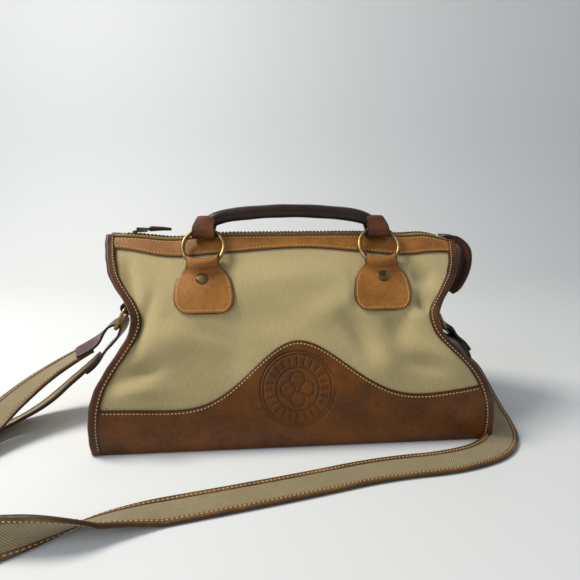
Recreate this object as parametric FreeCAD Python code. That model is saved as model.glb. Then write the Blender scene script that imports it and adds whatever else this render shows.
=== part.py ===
"""Zip-top doctor bag: canvas panels with leather trim, two rolled handles on rings,
soft pinched ends and an adjustable shoulder strap.

Millimetres, +Z up, +X to the right, front face towards -Y.
Origin: middle of the bag's base, on the surface that it stands on.
"""
import FreeCAD, Part
import math
import os

Vec = FreeCAD.Vector

# ---- driving sizes -------------------------------------------------------------
BASE_LENGTH = 320.0      # X, between the ends at the base
BASE_DEPTH = 148.0       # Y, between the two bottom hinge lines
BAG_HEIGHT = 160.0       # floor to the zip tape
TOP_GAP = 12.0           # Y, between the front and back panels at the zip
WAIST_IN_LEFT = 32.0     # how far the left end pinches in
WAIST_IN_RIGHT = 44.0    # how far the right end pinches in
CANVAS = 1.2             # canvas thickness
LINING = 0.8             # cotton lining thickness
LEATHER = 1.5            # trim leather thickness
BASE_LEATHER = 2.5       # bottom panel thickness
BOARD = 2.0              # stiffening board thickness
BINDING_WIDTH = 8.0      # leather binding along each end
BAND_WIDTH = 17.0        # leather band under the zip, along the slope
APRON_HEIGHT = 38.0      # lower leather apron at its ends
APRON_PEAK = 84.0        # top of the apron's wave, above the floor
APRON_WAVE = 66.0        # half length of the wave
HANDLE_SPACING = 147.0   # X, between the two rings of one handle
HANDLE_ROLL = 11.0       # diameter of the rolled handle
FOLD_BELOW_BAND = 10.0   # from the band down to the top of the patch's fold
RING_OUTER = 36.8        # handle ring, outside diameter
RING_WIRE = 3.4          # handle ring, wire diameter
PATCH_WIDTH = 48.0       # handle patch
PATCH_LENGTH = 40.0
PATCH_LEATHER = 2.0
NECK_WIDTH = 14.0        # tongue of the patch that folds round the ring
RIVET_HEAD = 9.5
STRAP_WIDTH = 25.0       # shoulder strap web
STRAP_THICK = 2.5
STRAP_LOOP_WIDE = 29.2   # wire loop at each end of the bag, between wire centres
STRAP_LOOP_HIGH = 20.0
STRAP_LOOP_BEND = 4.0
STRAP_RING_WIRE = 3.2
TEETH_PITCH = 3.2
FIT = 0.4                # clearance between pieces on different bodies
RUN_FIT = 0.5            # radial room of a leather fold round a ring's wire

SKIN = CANVAS + LEATHER                  # outside of trim, from the canvas's inner face
HALF_LENGTH = BASE_LENGTH / 2
HALF_DEPTH = BASE_DEPTH / 2
FLOOR_GAP = BASE_LEATHER + 0.7           # bottom edge of the panels
HINGE_Z = BASE_LEATHER
RING_R = (RING_OUTER - RING_WIRE) / 2    # centreline radius of a handle ring
RING_LEAN = math.radians(36.0)           # a raised ring leans back over the band
HANDLE_LEAN = math.radians(25.0)
BACK_RING_DROP = -166.0                  # degrees, the back handle hangs down behind


def export(shape, name):
    """Write one node, after a plain check of its solids."""
    solids = shape.Solids
    if not solids or not all(s.isValid() and s.isClosed() for s in solids):
        raise ValueError(name + " is not made of closed solids")
    out = solids[0] if len(solids) == 1 else Part.Compound(solids)
    out.exportStep("parts/" + name + ".step")
    print(f"{name:28s} {len(solids):3d} solids {shape.Volume:10.1f} mm3")


def spline(points):
    """One smooth curve through the points."""
    curve = Part.BSplineCurve()
    curve.interpolate(points)
    return curve


# ---- the front panel's side view -------------------------------------------------
# From the bottom edge up: a small belly, then a slope that lies back to the zip.
TOP_Y = TOP_GAP / 2
PROFILE = spline([
    Vec(0, -HALF_DEPTH, FLOOR_GAP),
    Vec(0, -HALF_DEPTH - 2.0, 0.13 * BAG_HEIGHT),
    Vec(0, -HALF_DEPTH + 1.0, 0.30 * BAG_HEIGHT),
    Vec(0, -0.86 * HALF_DEPTH, 0.48 * BAG_HEIGHT),
    Vec(0, -0.67 * HALF_DEPTH, 0.66 * BAG_HEIGHT),
    Vec(0, -0.43 * HALF_DEPTH, 0.815 * BAG_HEIGHT),
    Vec(0, -TOP_Y, BAG_HEIGHT),
])
PROFILE_STEPS = 24


def off_profile(u, offset):
    """A point of the side view, moved outwards by the offset."""
    at = PROFILE.value(u)
    along = PROFILE.tangent(u)[0]
    normal = Vec(0, -along.z, along.y)
    return at + normal * offset


def parameter_below_top(length):
    """The curve parameter a given length down the slope from the zip."""
    high = PROFILE.LastParameter
    low = PROFILE.FirstParameter
    for _ in range(50):
        middle = (low + high) / 2
        if PROFILE.length(middle, PROFILE.LastParameter) > length:
            low = middle
        else:
            high = middle
    return high


def offset_curve(offset, first, last):
    steps = PROFILE_STEPS
    values = [first + (last - first) * i / steps for i in range(steps + 1)]
    return spline([off_profile(u, offset) for u in values])


FIRST_U = PROFILE.FirstParameter
LAST_U = PROFILE.LastParameter


def layer(inner, outer, first=FIRST_U, last=LAST_U):
    """A skin between two offsets of the side view, as long as the bag and more."""
    inside = offset_curve(inner, first, last).toShape()
    outside = offset_curve(outer, first, last).toShape()
    low = Part.makeLine(off_profile(first, inner), off_profile(first, outer))
    high = Part.makeLine(off_profile(last, inner), off_profile(last, outer))
    face = Part.Face(Part.Wire([low, outside, high, inside]))
    reach = HALF_LENGTH + 40
    face.translate(Vec(-reach, 0, 0))
    return face.extrude(Vec(2 * reach, 0, 0))


# ---- the ends, seen from the front -------------------------------------------------
def end_curve(side, inset=0.0):
    """Edge of a panel at one end: upright at the base, pinched in at the waist."""
    pinch = WAIST_IN_LEFT if side < 0 else WAIST_IN_RIGHT
    waist = 0.64 if side < 0 else 0.60
    top_in = 4.0 if side < 0 else 12.0
    edge = [
        (HALF_LENGTH - 1.0, -4.0),
        (HALF_LENGTH - 1.0, 0.12 * BAG_HEIGHT),
        (HALF_LENGTH - 0.30 * pinch, 0.36 * BAG_HEIGHT),
        (HALF_LENGTH - pinch, waist * BAG_HEIGHT),
        (HALF_LENGTH - top_in - 0.36 * (pinch - top_in), 0.80 * BAG_HEIGHT),
        (HALF_LENGTH - top_in, BAG_HEIGHT + 6.0),
    ]
    return spline([Vec(side * (x - inset), 0, z) for x, z in edge])


def end_x(side, z, inset=0.0):
    """X of the panel's edge at a height."""
    curve = end_curve(side, inset)
    low, high = curve.FirstParameter, curve.LastParameter
    for _ in range(40):
        middle = (low + high) / 2
        if curve.value(middle).z < z:
            low = middle
        else:
            high = middle
    return curve.value(low).x


def between(left, right, y_from=-120.0, y_to=0.0):
    """The space between two upright edge curves, as a block along Y."""
    a = left.value(left.FirstParameter)
    b = left.value(left.LastParameter)
    c = right.value(right.LastParameter)
    d = right.value(right.FirstParameter)
    wire = Part.Wire([left.toShape(), Part.makeLine(b, c),
                      right.toShape(), Part.makeLine(d, a)])
    face = Part.Face(wire)
    face.translate(Vec(0, y_from, 0))
    return face.extrude(Vec(0, y_to - y_from, 0))


INNER = between(end_curve(-1, BINDING_WIDTH), end_curve(1, BINDING_WIDTH))


def apron_block():
    """Everything under the apron's top edge: level ends and one smooth wave."""
    low_z = APRON_HEIGHT
    end = HALF_LENGTH + 20
    wave = spline([
        Vec(-end, 0, low_z + 1), Vec(-0.70 * HALF_LENGTH, 0, low_z - 1),
        Vec(-APRON_WAVE - 8, 0, low_z + 1),
        Vec(-0.62 * APRON_WAVE, 0, low_z + 0.45 * (APRON_PEAK - low_z)),
        Vec(0, 0, APRON_PEAK),
        Vec(0.62 * APRON_WAVE, 0, low_z + 0.58 * (APRON_PEAK - low_z)),
        Vec(APRON_WAVE + 16, 0, low_z + 6), Vec(0.76 * HALF_LENGTH, 0, low_z + 6),
        Vec(end, 0, low_z + 16),
    ])
    wire = Part.Wire([
        wave.toShape(),
        Part.makeLine(Vec(end, 0, low_z + 16), Vec(end, 0, -10)),
        Part.makeLine(Vec(end, 0, -10), Vec(-end, 0, -10)),
        Part.makeLine(Vec(-end, 0, -10), Vec(-end, 0, low_z + 1)),
    ])
    face = Part.Face(wire)
    face.translate(Vec(0, -120, 0))
    return face.extrude(Vec(0, 120, 0))


def rounded_block(x0, x1, z0, z1, radius):
    """A block along Y with rounded lower corners."""
    pts = [Vec(x0, 0, z1), Vec(x0, 0, z0 + radius), Vec(x0 + radius, 0, z0),
           Vec(x1 - radius, 0, z0), Vec(x1, 0, z0 + radius), Vec(x1, 0, z1)]
    turn = radius * (1 - math.sqrt(0.5))
    left = Part.Arc(pts[1], Vec(x0 + turn, 0, z0 + turn), pts[2]).toShape()
    right = Part.Arc(pts[3], Vec(x1 - turn, 0, z0 + turn), pts[4]).toShape()
    wire = Part.Wire([Part.makeLine(pts[0], pts[1]), left, Part.makeLine(pts[2], pts[3]),
                      right, Part.makeLine(pts[4], pts[5]), Part.makeLine(pts[5], pts[0])])
    face = Part.Face(wire)
    face.translate(Vec(0, -120, 0))
    return face.extrude(Vec(0, 120, 0))


def cylinder_x(radius, x0, x1, y, z):
    return Part.makeCylinder(radius, x1 - x0, Vec(x0, y, z), Vec(1, 0, 0))


# ---- front and back skins -------------------------------------------------------
def panel_pieces():
    """The front panel's skins, from the lining out."""
    band_u = parameter_below_top(BAND_WIDTH)
    bindings = {}
    for side, word in ((-1, "left"), (1, "right")):
        outer = end_curve(side)
        inner = end_curve(side, BINDING_WIDTH)
        strip = between(outer, inner) if side < 0 else between(inner, outer)
        bindings["binding_" + word] = layer(-LINING, SKIN, FIRST_U, LAST_U).common(strip)
    pieces = {
        "canvas": layer(0, CANVAS).common(INNER),
        "lining": layer(-LINING, 0).common(INNER),
        "apron": layer(CANVAS, SKIN).common(INNER).common(apron_block()),
        "top_band": layer(CANVAS, SKIN, band_u, LAST_U).common(INNER),
    }
    pieces.update(bindings)
    return pieces


# ---- handle hardware, on the front ------------------------------------------------
NECK_RISE = RING_R - math.sqrt(RING_R ** 2 - (NECK_WIDTH / 2) ** 2)
FOLD_INNER = RING_WIRE / 2 + RUN_FIT + NECK_RISE    # leather fold round the ring's wire
FOLD_OUTER = FOLD_INNER + 1.6
FOLD_U = parameter_below_top(BAND_WIDTH + FOLD_OUTER + FOLD_BELOW_BAND)
FOLD = off_profile(FOLD_U, CANVAS + FOLD_OUTER)     # hinge line of the handle rings
RING_UP = Vec(0, math.sin(RING_LEAN), math.cos(RING_LEAN))
RING_TOP = FOLD + RING_UP * (2 * RING_R)            # hinge line of the handle
HANDLE_UP = Vec(0, math.sin(HANDLE_LEAN), math.cos(HANDLE_LEAN))
LOOP_BELOW = 3.0         # the handle's end loop, below and above the ring's top
LOOP_ABOVE = 2.0
ROLL_ABOVE_LOOP = 2.6       # keeps the roll's ends clear of the rings
LOOP_WIDTH = 18.0
LOOP_ROOM = 1.3          # the wire curves inside the loop as the handle swings
LOOP_LEATHER = 1.8


def patch():
    """Stitched patch with its folded tongue, at the middle of the panel."""
    top = FOLD.z + 1.0
    low_u = parameter_below_top(BAND_WIDTH + FOLD_OUTER + FOLD_BELOW_BAND + PATCH_LENGTH)
    low = PROFILE.value(low_u).z
    half = PATCH_WIDTH / 2
    shoulder = Part.makeBox(NECK_WIDTH, 120, 4.0, Vec(-NECK_WIDTH / 2, -120, top - 3.0))
    outline = rounded_block(-half, half, low, top - 3.0, 14.0).fuse(shoulder)
    plate = layer(CANVAS, CANVAS + PATCH_LEATHER).common(outline.removeSplitter())
    fold = cylinder_x(FOLD_OUTER, -NECK_WIDTH / 2, NECK_WIDTH / 2, FOLD.y, FOLD.z)
    hole = cylinder_x(FOLD_INNER, -NECK_WIDTH, NECK_WIDTH, FOLD.y, FOLD.z)
    return plate.fuse(fold).cut(hole)


def rivet(x):
    """Domed rivet through the patch, with its post and inside cap."""
    u = parameter_below_top(BAND_WIDTH + FOLD_OUTER + FOLD_BELOW_BAND + 10.0)
    out = off_profile(u, 1.0) - off_profile(u, 0.0)
    face = off_profile(u, CANVAS + PATCH_LEATHER)
    face.x = x
    head = Part.makeCylinder(RIVET_HEAD / 2, 1.0, face, out)
    dome = Part.makeCone(RIVET_HEAD / 2, RIVET_HEAD / 4, 0.9, face + out, out)
    inner = off_profile(u, -LINING)
    inner.x = x
    cap = Part.makeCylinder(RIVET_HEAD / 2 - 0.5, 0.9, inner - out * 0.9, out)
    return head.fuse(dome).removeSplitter(), cap, (face, out)


def rivet_post(face, out):
    """The post's hole through all the layers."""
    depth = CANVAS + PATCH_LEATHER + LINING
    return Part.makeCylinder(1.6, depth, face - out * depth, out)


def ring(x):
    """Round wire ring, its lowest point in the patch's fold."""
    centre = FOLD + RING_UP * RING_R
    centre.x = x
    normal = Vec(0, -RING_UP.z, RING_UP.y)
    return Part.makeTorus(RING_R, RING_WIRE / 2, centre, normal)


def handle_loop(x):
    """Folded leather end of the handle, a long closed loop round the ring's top."""
    inner = RING_WIRE / 2 + RUN_FIT + LOOP_ROOM
    outer = inner + LOOP_LEATHER
    along = RING_UP
    across = Vec(0, along.z, -along.y)
    low = RING_TOP - along * LOOP_BELOW
    high = RING_TOP + along * LOOP_ABOVE

    def track(radius):
        a = low + across * radius
        b = high + across * radius
        c = high - across * radius
        d = low - across * radius
        wire = Part.Wire([
            Part.makeLine(a, b), Part.Arc(b, high + along * radius, c).toShape(),
            Part.makeLine(c, d), Part.Arc(d, low - along * radius, a).toShape()])
        face = Part.Face(wire)
        face.translate(Vec(x - LOOP_WIDTH / 2, 0, 0))
        return face.extrude(Vec(LOOP_WIDTH, 0, 0))

    return track(outer).cut(track(inner))


def handle_roll():
    """Rolled leather grip: a long flat arc that turns down at both ends."""
    end_radius = 22.0
    end_turn = math.radians(40.0)
    half = HANDLE_SPACING / 2 - 3.0
    middle_turn = math.radians(9.0)
    swing = math.sin(middle_turn + end_turn) - math.sin(middle_turn)
    middle_radius = (half - end_radius * swing) / math.sin(middle_turn)
    root = RING_TOP + RING_UP * (LOOP_ABOVE + ROLL_ABOVE_LOOP)

    def place(x, w):
        return Vec(x, root.y, root.z) + HANDLE_UP * w

    drop = end_radius * (math.cos(middle_turn) - math.cos(middle_turn + end_turn))
    rise = middle_radius * (1 - math.cos(middle_turn)) + drop
    top = rise

    def on_arc(turn):
        """Point of the centreline, by the angle turned from the middle."""
        size = abs(turn)
        sign = 1 if turn >= 0 else -1
        if size <= middle_turn:
            x = middle_radius * math.sin(size)
            w = top - middle_radius * (1 - math.cos(size))
        else:
            x = middle_radius * math.sin(middle_turn) + end_radius * (
                math.sin(size) - math.sin(middle_turn))
            w = top - middle_radius * (1 - math.cos(middle_turn)) - end_radius * (
                math.cos(middle_turn) - math.cos(size))
        return place(sign * x, w)

    stops = [-middle_turn - end_turn, -middle_turn, middle_turn, middle_turn + end_turn]
    edges = [Part.Arc(on_arc(a), on_arc((a + b) / 2), on_arc(b)).toShape()
             for a, b in zip(stops, stops[1:])]
    wire = Part.Wire(edges)
    start = on_arc(stops[0])
    tangent = edges[0].tangentAt(edges[0].FirstParameter)
    cover = wire.makePipeShell(
        [Part.Wire(Part.makeCircle(HANDLE_ROLL / 2, start, tangent))], True, False)
    core = wire.makePipeShell(
        [Part.Wire(Part.makeCircle(HANDLE_ROLL / 2 - 1.6, start, tangent))], True, False)
    return cover.cut(core), core


def turned(shape, centre, degrees):
    """A copy turned about a line along X."""
    copy = shape.copy()
    copy.rotate(centre, Vec(1, 0, 0), degrees)
    return copy


def mirrored(shape):
    return shape.mirror(Vec(0, 0, 0), Vec(0, 1, 0))


def panel_and_hardware(word):
    """All the nodes of one side, built at the front and mirrored for the back."""
    nodes = panel_pieces()
    face, out = rivet(0.0)[2]
    sewn_patch = patch().cut(rivet_post(face, out))
    posts = []
    heads = []
    caps = []
    for x in (-HANDLE_SPACING / 2, HANDLE_SPACING / 2):
        name = "left" if x < 0 else "right"
        head, cap, (face, out) = rivet(x)
        post = rivet_post(face, out)
        posts.append(post)
        heads.append(head.fuse(post).removeSplitter())
        caps.append(cap)
        nodes["patch_" + name] = sewn_patch.translated(Vec(x, 0, 0))
    for post in posts:
        nodes["canvas"] = nodes["canvas"].cut(post)
        nodes["lining"] = nodes["lining"].cut(post)
    nodes["rivets"] = Part.Compound(heads)
    nodes["rivet_caps"] = Part.Compound([cap.cut(nodes["lining"]) for cap in caps])
    drop = BACK_RING_DROP if word == "back" else 0.0
    for x in (-HANDLE_SPACING / 2, HANDLE_SPACING / 2):
        name = "left" if x < 0 else "right"
        nodes["ring_" + name] = turned(ring(x), FOLD, -drop)
    cover, core = handle_roll()
    ends = []
    for x in (-HANDLE_SPACING / 2, HANDLE_SPACING / 2):
        ends.append(handle_loop(x).cut(cover).cut(core))
    nodes["handle_cover"] = turned(cover, FOLD, -drop)
    nodes["handle_core"] = turned(core, FOLD, -drop)
    nodes["handle_ends"] = turned(Part.Compound(ends), FOLD, -drop)
    for name, shape in nodes.items():
        export(mirrored(shape) if word == "back" else shape, word + "_" + name)
    return nodes


# ---- zip ---------------------------------------------------------------------------
TAPE_Z = off_profile(LAST_U, SKIN).z + 0.1    # the tape lies on the bands' top edges
TAPE_THICK = 0.8
TAPE_OUT = TOP_Y + 3.0
TAPE_IN = 1.4
TOOTH_IN = 1.0
TOOTH_WIDTH = 2.4
TOOTH_HEIGHT = 2.6
SLIDER_FROM_END = 4         # teeth between the closed slider and the zip's end
SLIDER_LENGTH = 11.0
SLIDER_WIDTH = 9.0
SLIDER_PLATE = 1.2


def zip_pieces():
    left = -HALF_LENGTH + 9.0
    right = HALF_LENGTH - 18.0
    tape = Part.makeBox(right - left, TAPE_OUT - TAPE_IN, TAPE_THICK,
                        Vec(left, -TAPE_OUT, TAPE_Z))
    teeth = []
    tooth_left = left + 12.0
    count = int((right - 8.0 - tooth_left) / TEETH_PITCH)
    for i in range(count):
        x = tooth_left + i * TEETH_PITCH
        teeth.append(Part.makeBox(
            1.7, TOOTH_WIDTH, TOOTH_HEIGHT,
            Vec(x, -TOOTH_IN - TOOTH_WIDTH, TAPE_Z + TAPE_THICK / 2 - TOOTH_HEIGHT / 2)))
    row = Part.Compound(teeth)
    groove = Part.makeBox(right - left, TOOTH_WIDTH, TOOTH_HEIGHT,
                          Vec(left, -TOOTH_IN - TOOTH_WIDTH,
                              TAPE_Z + TAPE_THICK / 2 - TOOTH_HEIGHT / 2))
    tape = tape.cut(groove)
    export(tape, "front_zip_tape")
    export(row, "front_zip_teeth")
    export(mirrored(tape), "back_zip_tape")
    export(mirrored(row), "back_zip_teeth")
    middle = TAPE_Z + TAPE_THICK / 2
    gap = TOOTH_HEIGHT / 2 + FIT
    x0 = left + 4.0 + SLIDER_FROM_END * TEETH_PITCH
    upper = Part.makeBox(SLIDER_LENGTH, SLIDER_WIDTH, SLIDER_PLATE,
                         Vec(x0, -SLIDER_WIDTH / 2, middle + gap))
    lower = Part.makeBox(SLIDER_LENGTH, SLIDER_WIDTH, SLIDER_PLATE,
                         Vec(x0, -SLIDER_WIDTH / 2, middle - gap - SLIDER_PLATE))
    post = Part.makeBox(2.5, 2 * (TOOTH_IN - FIT), 2 * gap + 0.2,
                        Vec(x0, -TOOTH_IN + FIT, middle - gap - 0.1))
    top = middle + gap + SLIDER_PLATE
    bridge = Part.makeBox(6.0, 2.4, 2.6, Vec(x0 + 2.5, -1.2, top - 0.1))
    bridge_hole = Part.makeCylinder(0.9, 4.0, Vec(x0 + 6.4, -2.0, top + 1.3), Vec(0, 1, 0))
    slider = upper.fuse(lower).fuse(post).fuse(bridge).cut(bridge_hole).removeSplitter()
    export(slider, "zip_slider")
    pin = Vec(x0 + 6.4, 0, top + 1.3)
    # the pull's wire link turns in the bridge, and the leather pull hangs on the link
    link_width = 5.0
    wire = 0.7
    side_bar = Part.makeBox(8.0 + 2 * wire, 2 * wire, 2 * wire,
                            Vec(pin.x - wire, link_width / 2 - wire, pin.z - wire))
    link = side_bar.fuse(mirrored(side_bar))
    for bar_x in (pin.x, pin.x + 8.0):
        link = link.fuse(Part.makeCylinder(
            wire, link_width, Vec(bar_x, -link_width / 2, pin.z), Vec(0, 1, 0)))
    export(link, "zip_link")
    pull = Part.makeBox(16.0, 6.0, 2.8, Vec(pin.x + 6.2, -3.0, pin.z - 1.4))
    eye = Part.makeCylinder(wire + 0.15, 8.0, Vec(pin.x + 8.0, -4.0, pin.z), Vec(0, 1, 0))
    side_cut = Part.makeBox(4.6, 3.0, 4.0, Vec(pin.x + 5.0, link_width / 2 - wire - 0.2, pin.z - 2))
    side_cut_two = mirrored(side_cut)
    pull = pull.cut(eye).cut(side_cut).cut(side_cut_two)
    export(pull, "zip_pull")
    stop_size = (3.0, 2 * (TOOTH_IN + TOOTH_WIDTH), TOOTH_HEIGHT)
    stop = Part.makeBox(*stop_size, Vec(right - 6.0, -stop_size[1] / 2,
                                        middle - TOOTH_HEIGHT / 2))
    half_stop = stop.common(Part.makeBox(20, 20, 20, Vec(right - 12, -20 - TOOTH_IN, middle - 10)))
    export(half_stop.cut(tape), "zip_stop")
    return pin


# ---- base and ends --------------------------------------------------------------------
def base_pieces():
    low = Part.makeBox(BASE_LENGTH - 6, BASE_DEPTH - 2 * FIT, BASE_LEATHER,
                       Vec(-HALF_LENGTH + 3, -HALF_DEPTH + FIT, 0))
    corner = [e for e in low.Edges
              if abs(e.Vertexes[0].X - e.Vertexes[-1].X) < 0.01
              and abs(e.Vertexes[0].Y - e.Vertexes[-1].Y) < 0.01]
    low = low.makeFillet(14.0, corner)
    export(low, "bottom_panel")
    board = Part.makeBox(BASE_LENGTH - 34, BASE_DEPTH - 22, BOARD,
                         Vec(-HALF_LENGTH + 17, -HALF_DEPTH + 11, BASE_LEATHER))
    export(board, "base_board")


def inside_block():
    """The space between the two linings, with room for the panels to move."""
    curve = offset_curve(-LINING - FIT, FIRST_U, LAST_U)
    front = curve.toShape()
    back = front.mirror(Vec(0, 0, 0), Vec(0, 1, 0))
    a = curve.value(curve.FirstParameter)
    b = curve.value(curve.LastParameter)
    low = Part.makeLine(a, Vec(0, -a.y, a.z))
    high = Part.makeLine(b, Vec(0, -b.y, b.z))
    face = Part.Face(Part.Wire([front, high, back, low]))
    reach = HALF_LENGTH + 40
    face.translate(Vec(-reach, 0, 0))
    block = face.extrude(Vec(2 * reach, 0, 0))
    lid = Part.makeBox(2 * reach, 200, 60, Vec(-reach, -100, TAPE_Z - 8.0))
    return block.cut(lid)


GUSSET = 1.6


def gusset(side):
    """Canvas end, pinched in at the waist and sewn to the base."""
    outer = end_curve(side, 1.0)
    inner = end_curve(side, 1.0 + GUSSET)
    pair = (outer, inner) if side < 0 else (inner, outer)
    return between(pair[0], pair[1], -120, 120).common(inside_block())


ENDS_INSIDE = between(end_curve(-1, 1.0), end_curve(1, 1.0), -120, 120)


# ---- strap hardware on the ends ---------------------------------------------------------
TAB_Z = {-1: 99.0, 1: 92.0}
TAB_OUT = 17.0           # how far the tab's fold stands off the gusset
TAB_WIDTH = 20.0
TAB_LEATHER = 2.0


def tab_fold(side):
    """Centre of the tab's fold, where the strap ring hangs."""
    x = end_x(side, TAB_Z[side], 1.0)
    return Vec(x + side * TAB_OUT, 0, TAB_Z[side])


def strap_tab(side):
    """Leather tab folded round the ring and riveted through the gusset."""
    fold = tab_fold(side)
    face_x = end_x(side, TAB_Z[side], 1.0) + side * 0.3
    inner = STRAP_RING_WIRE / 2 + RUN_FIT + 0.8
    outer = inner + TAB_LEATHER
    ring_part = Part.makeCylinder(outer, TAB_WIDTH, Vec(fold.x, -TAB_WIDTH / 2, fold.z),
                                  Vec(0, 1, 0))
    arm_x = sorted([face_x + side * 2.5, fold.x])
    arm = Part.makeBox(arm_x[1] - arm_x[0], TAB_WIDTH, TAB_LEATHER,
                       Vec(arm_x[0], -TAB_WIDTH / 2, fold.z + inner))
    foot_x = sorted([face_x + side * 3.2, face_x + side * (3.2 + TAB_LEATHER)])
    foot = Part.makeBox(foot_x[1] - foot_x[0], TAB_WIDTH, 14.0 + TAB_LEATHER,
                        Vec(foot_x[0], -TAB_WIDTH / 2, fold.z + inner))
    hole = Part.makeCylinder(inner, TAB_WIDTH + 2, Vec(fold.x, -TAB_WIDTH / 2 - 1, fold.z),
                             Vec(0, 1, 0))
    return ring_part.fuse(arm).fuse(foot).cut(hole).removeSplitter(), foot_x


def strap_ring(side):
    """Wire ring hanging from the tab's fold."""
    fold = tab_fold(side)
    lean = math.radians(28.0)
    down = Vec(side * math.sin(lean), 0, -math.cos(lean))
    low = fold + down * STRAP_LOOP_HIGH
    half = STRAP_LOOP_WIDE / 2
    corners = [fold + Vec(0, half, 0), low + Vec(0, half, 0),
               low - Vec(0, half, 0), fold - Vec(0, half, 0)]
    edges = []
    for before, corner, after in zip(corners[-1:] + corners, corners, corners[1:] + corners[:1]):
        into = (corner - before).normalize()
        out = (after - corner).normalize()
        start = corner - into * STRAP_LOOP_BEND
        end = corner + out * STRAP_LOOP_BEND
        middle = corner + (out - into).normalize() * (STRAP_LOOP_BEND * (math.sqrt(2) - 1))
        edges.append(Part.Arc(start, middle, end).toShape())
        edges.append(Part.makeLine(end, after - out * STRAP_LOOP_BEND))
    halves = []
    for run in (edges[:4], edges[4:]):
        tangent = run[0].tangentAt(run[0].FirstParameter)
        at = run[0].valueAt(run[0].FirstParameter)
        section = Part.Wire(Part.makeCircle(STRAP_RING_WIRE / 2, at, tangent))
        halves.append(Part.Wire(run).makePipeShell([section], True, False))
    return halves[0].fuse(halves[1]), low


def tab_rivet(side, foot_x):
    """Rivet that holds the tab to the gusset."""
    z = TAB_Z[side] + STRAP_RING_WIRE / 2 + RUN_FIT + 0.8 + TAB_LEATHER + 7.0
    outside = foot_x[1] if side > 0 else foot_x[0]
    wall = end_x(side, z, 1.0)
    outside = max(side * outside, side * wall + 1.0) * side
    head = Part.makeCylinder(RIVET_HEAD / 2, 1.6, Vec(outside, 0, z), Vec(side, 0, 0))
    post = Part.makeCylinder(1.6, abs(outside - wall) + GUSSET + 0.5,
                             Vec(outside, 0, z), Vec(-side, 0, 0))
    return head.fuse(post).removeSplitter(), post


def end_pieces():
    lows = {}
    for side, word in ((-1, "left"), (1, "right")):
        tab, foot_x = strap_tab(side)
        stud, post = tab_rivet(side, foot_x)
        export(gusset(side).cut(stud), "gusset_" + word)
        export(tab.cut(post).cut(ENDS_INSIDE), "strap_tab_" + word)
        export(stud, "strap_tab_rivet_" + word)
        loop, low = strap_ring(side)
        export(loop, "strap_ring_" + word)
        lows[side] = low
    return lows


END_TAB_WIDTH = 26.0
END_TAB_START = HALF_LENGTH - 18.0 - 2.4     # just past the zip's end stop


def zip_end_tab():
    """Leather tongue sewn over the zip's end, hanging down over the right gusset."""
    edge = HALF_LENGTH - 12.0
    pts = [Vec(edge + 1.2, 0, BAG_HEIGHT - 6), Vec(edge + 9.0, 0, BAG_HEIGHT - 16),
           Vec(edge + 7.0, 0, BAG_HEIGHT - 36), Vec(edge - 1.0, 0, BAG_HEIGHT - 52)]
    thick = Vec(3.2, 0, 1.0)
    outer = spline([p + thick for p in pts])
    inner = spline(pts)
    wire = Part.Wire([inner.toShape(), Part.makeLine(pts[-1], pts[-1] + thick),
                      outer.toShape(), Part.makeLine(pts[0] + thick, pts[0])])
    face = Part.Face(wire)
    face.translate(Vec(0, -END_TAB_WIDTH / 2, 0))
    drop = face.extrude(Vec(0, END_TAB_WIDTH, 0))
    flat = Part.makeBox(edge + 3.0 - END_TAB_START, END_TAB_WIDTH / 2, 2.4,
                        Vec(END_TAB_START, -END_TAB_WIDTH / 4, TAPE_Z + TAPE_THICK + FIT))
    shoulder = Part.makeBox(3.2, END_TAB_WIDTH / 2, TAPE_Z + TAPE_THICK + FIT + 2.4 - BAG_HEIGHT + 6,
                            Vec(edge + 1.2, -END_TAB_WIDTH / 4, BAG_HEIGHT - 6))
    return drop.fuse(flat).fuse(shoulder).removeSplitter()


# ---- shoulder strap ------------------------------------------------------------------------
# A round tube whose section holds the same stuff as the flat web.
WEB_R = math.sqrt(STRAP_WIDTH * STRAP_THICK / math.pi)


def rounded_route(points, name):
    """Straight runs joined by arcs, each as large as its two runs allow."""
    edges = []
    last = points[0]
    radii = []
    for before, corner, after in zip(points, points[1:], points[2:]):
        into = (corner - before).normalize()
        out = (after - corner).normalize()
        turn = math.acos(max(-1.0, min(1.0, into.dot(out))))
        shorter = min((corner - before).Length, (after - corner).Length)
        cut = 0.45 * shorter
        radius = cut / math.tan(turn / 2)
        radii.append(round(radius, 1))
        start = corner - into * cut
        end = corner + out * cut
        bisector = (out - into).normalize()
        centre = corner + bisector * (radius / math.cos(turn / 2))
        middle = centre - bisector * radius
        edges.append(Part.LineSegment(last, start).toShape())
        edges.append(Part.Arc(start, middle, end).toShape())
        last = end
    edges.append(Part.LineSegment(last, points[-1]).toShape())
    print(name, "arc radii", radii)
    return Part.Wire(edges)


def tube(points, radius, name):
    wire = rounded_route(points, name)
    start = (points[1] - points[0]).normalize()
    ring_wire = Part.Wire(Part.makeCircle(radius, points[0], start))
    solid = wire.makePipeShell([ring_wire], True, False)
    section = math.pi * radius * radius
    print(name, "length", round(wire.Length, 1),
          "volume / (section x length)", round(solid.Volume / (section * wire.Length), 4))
    return solid


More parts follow.
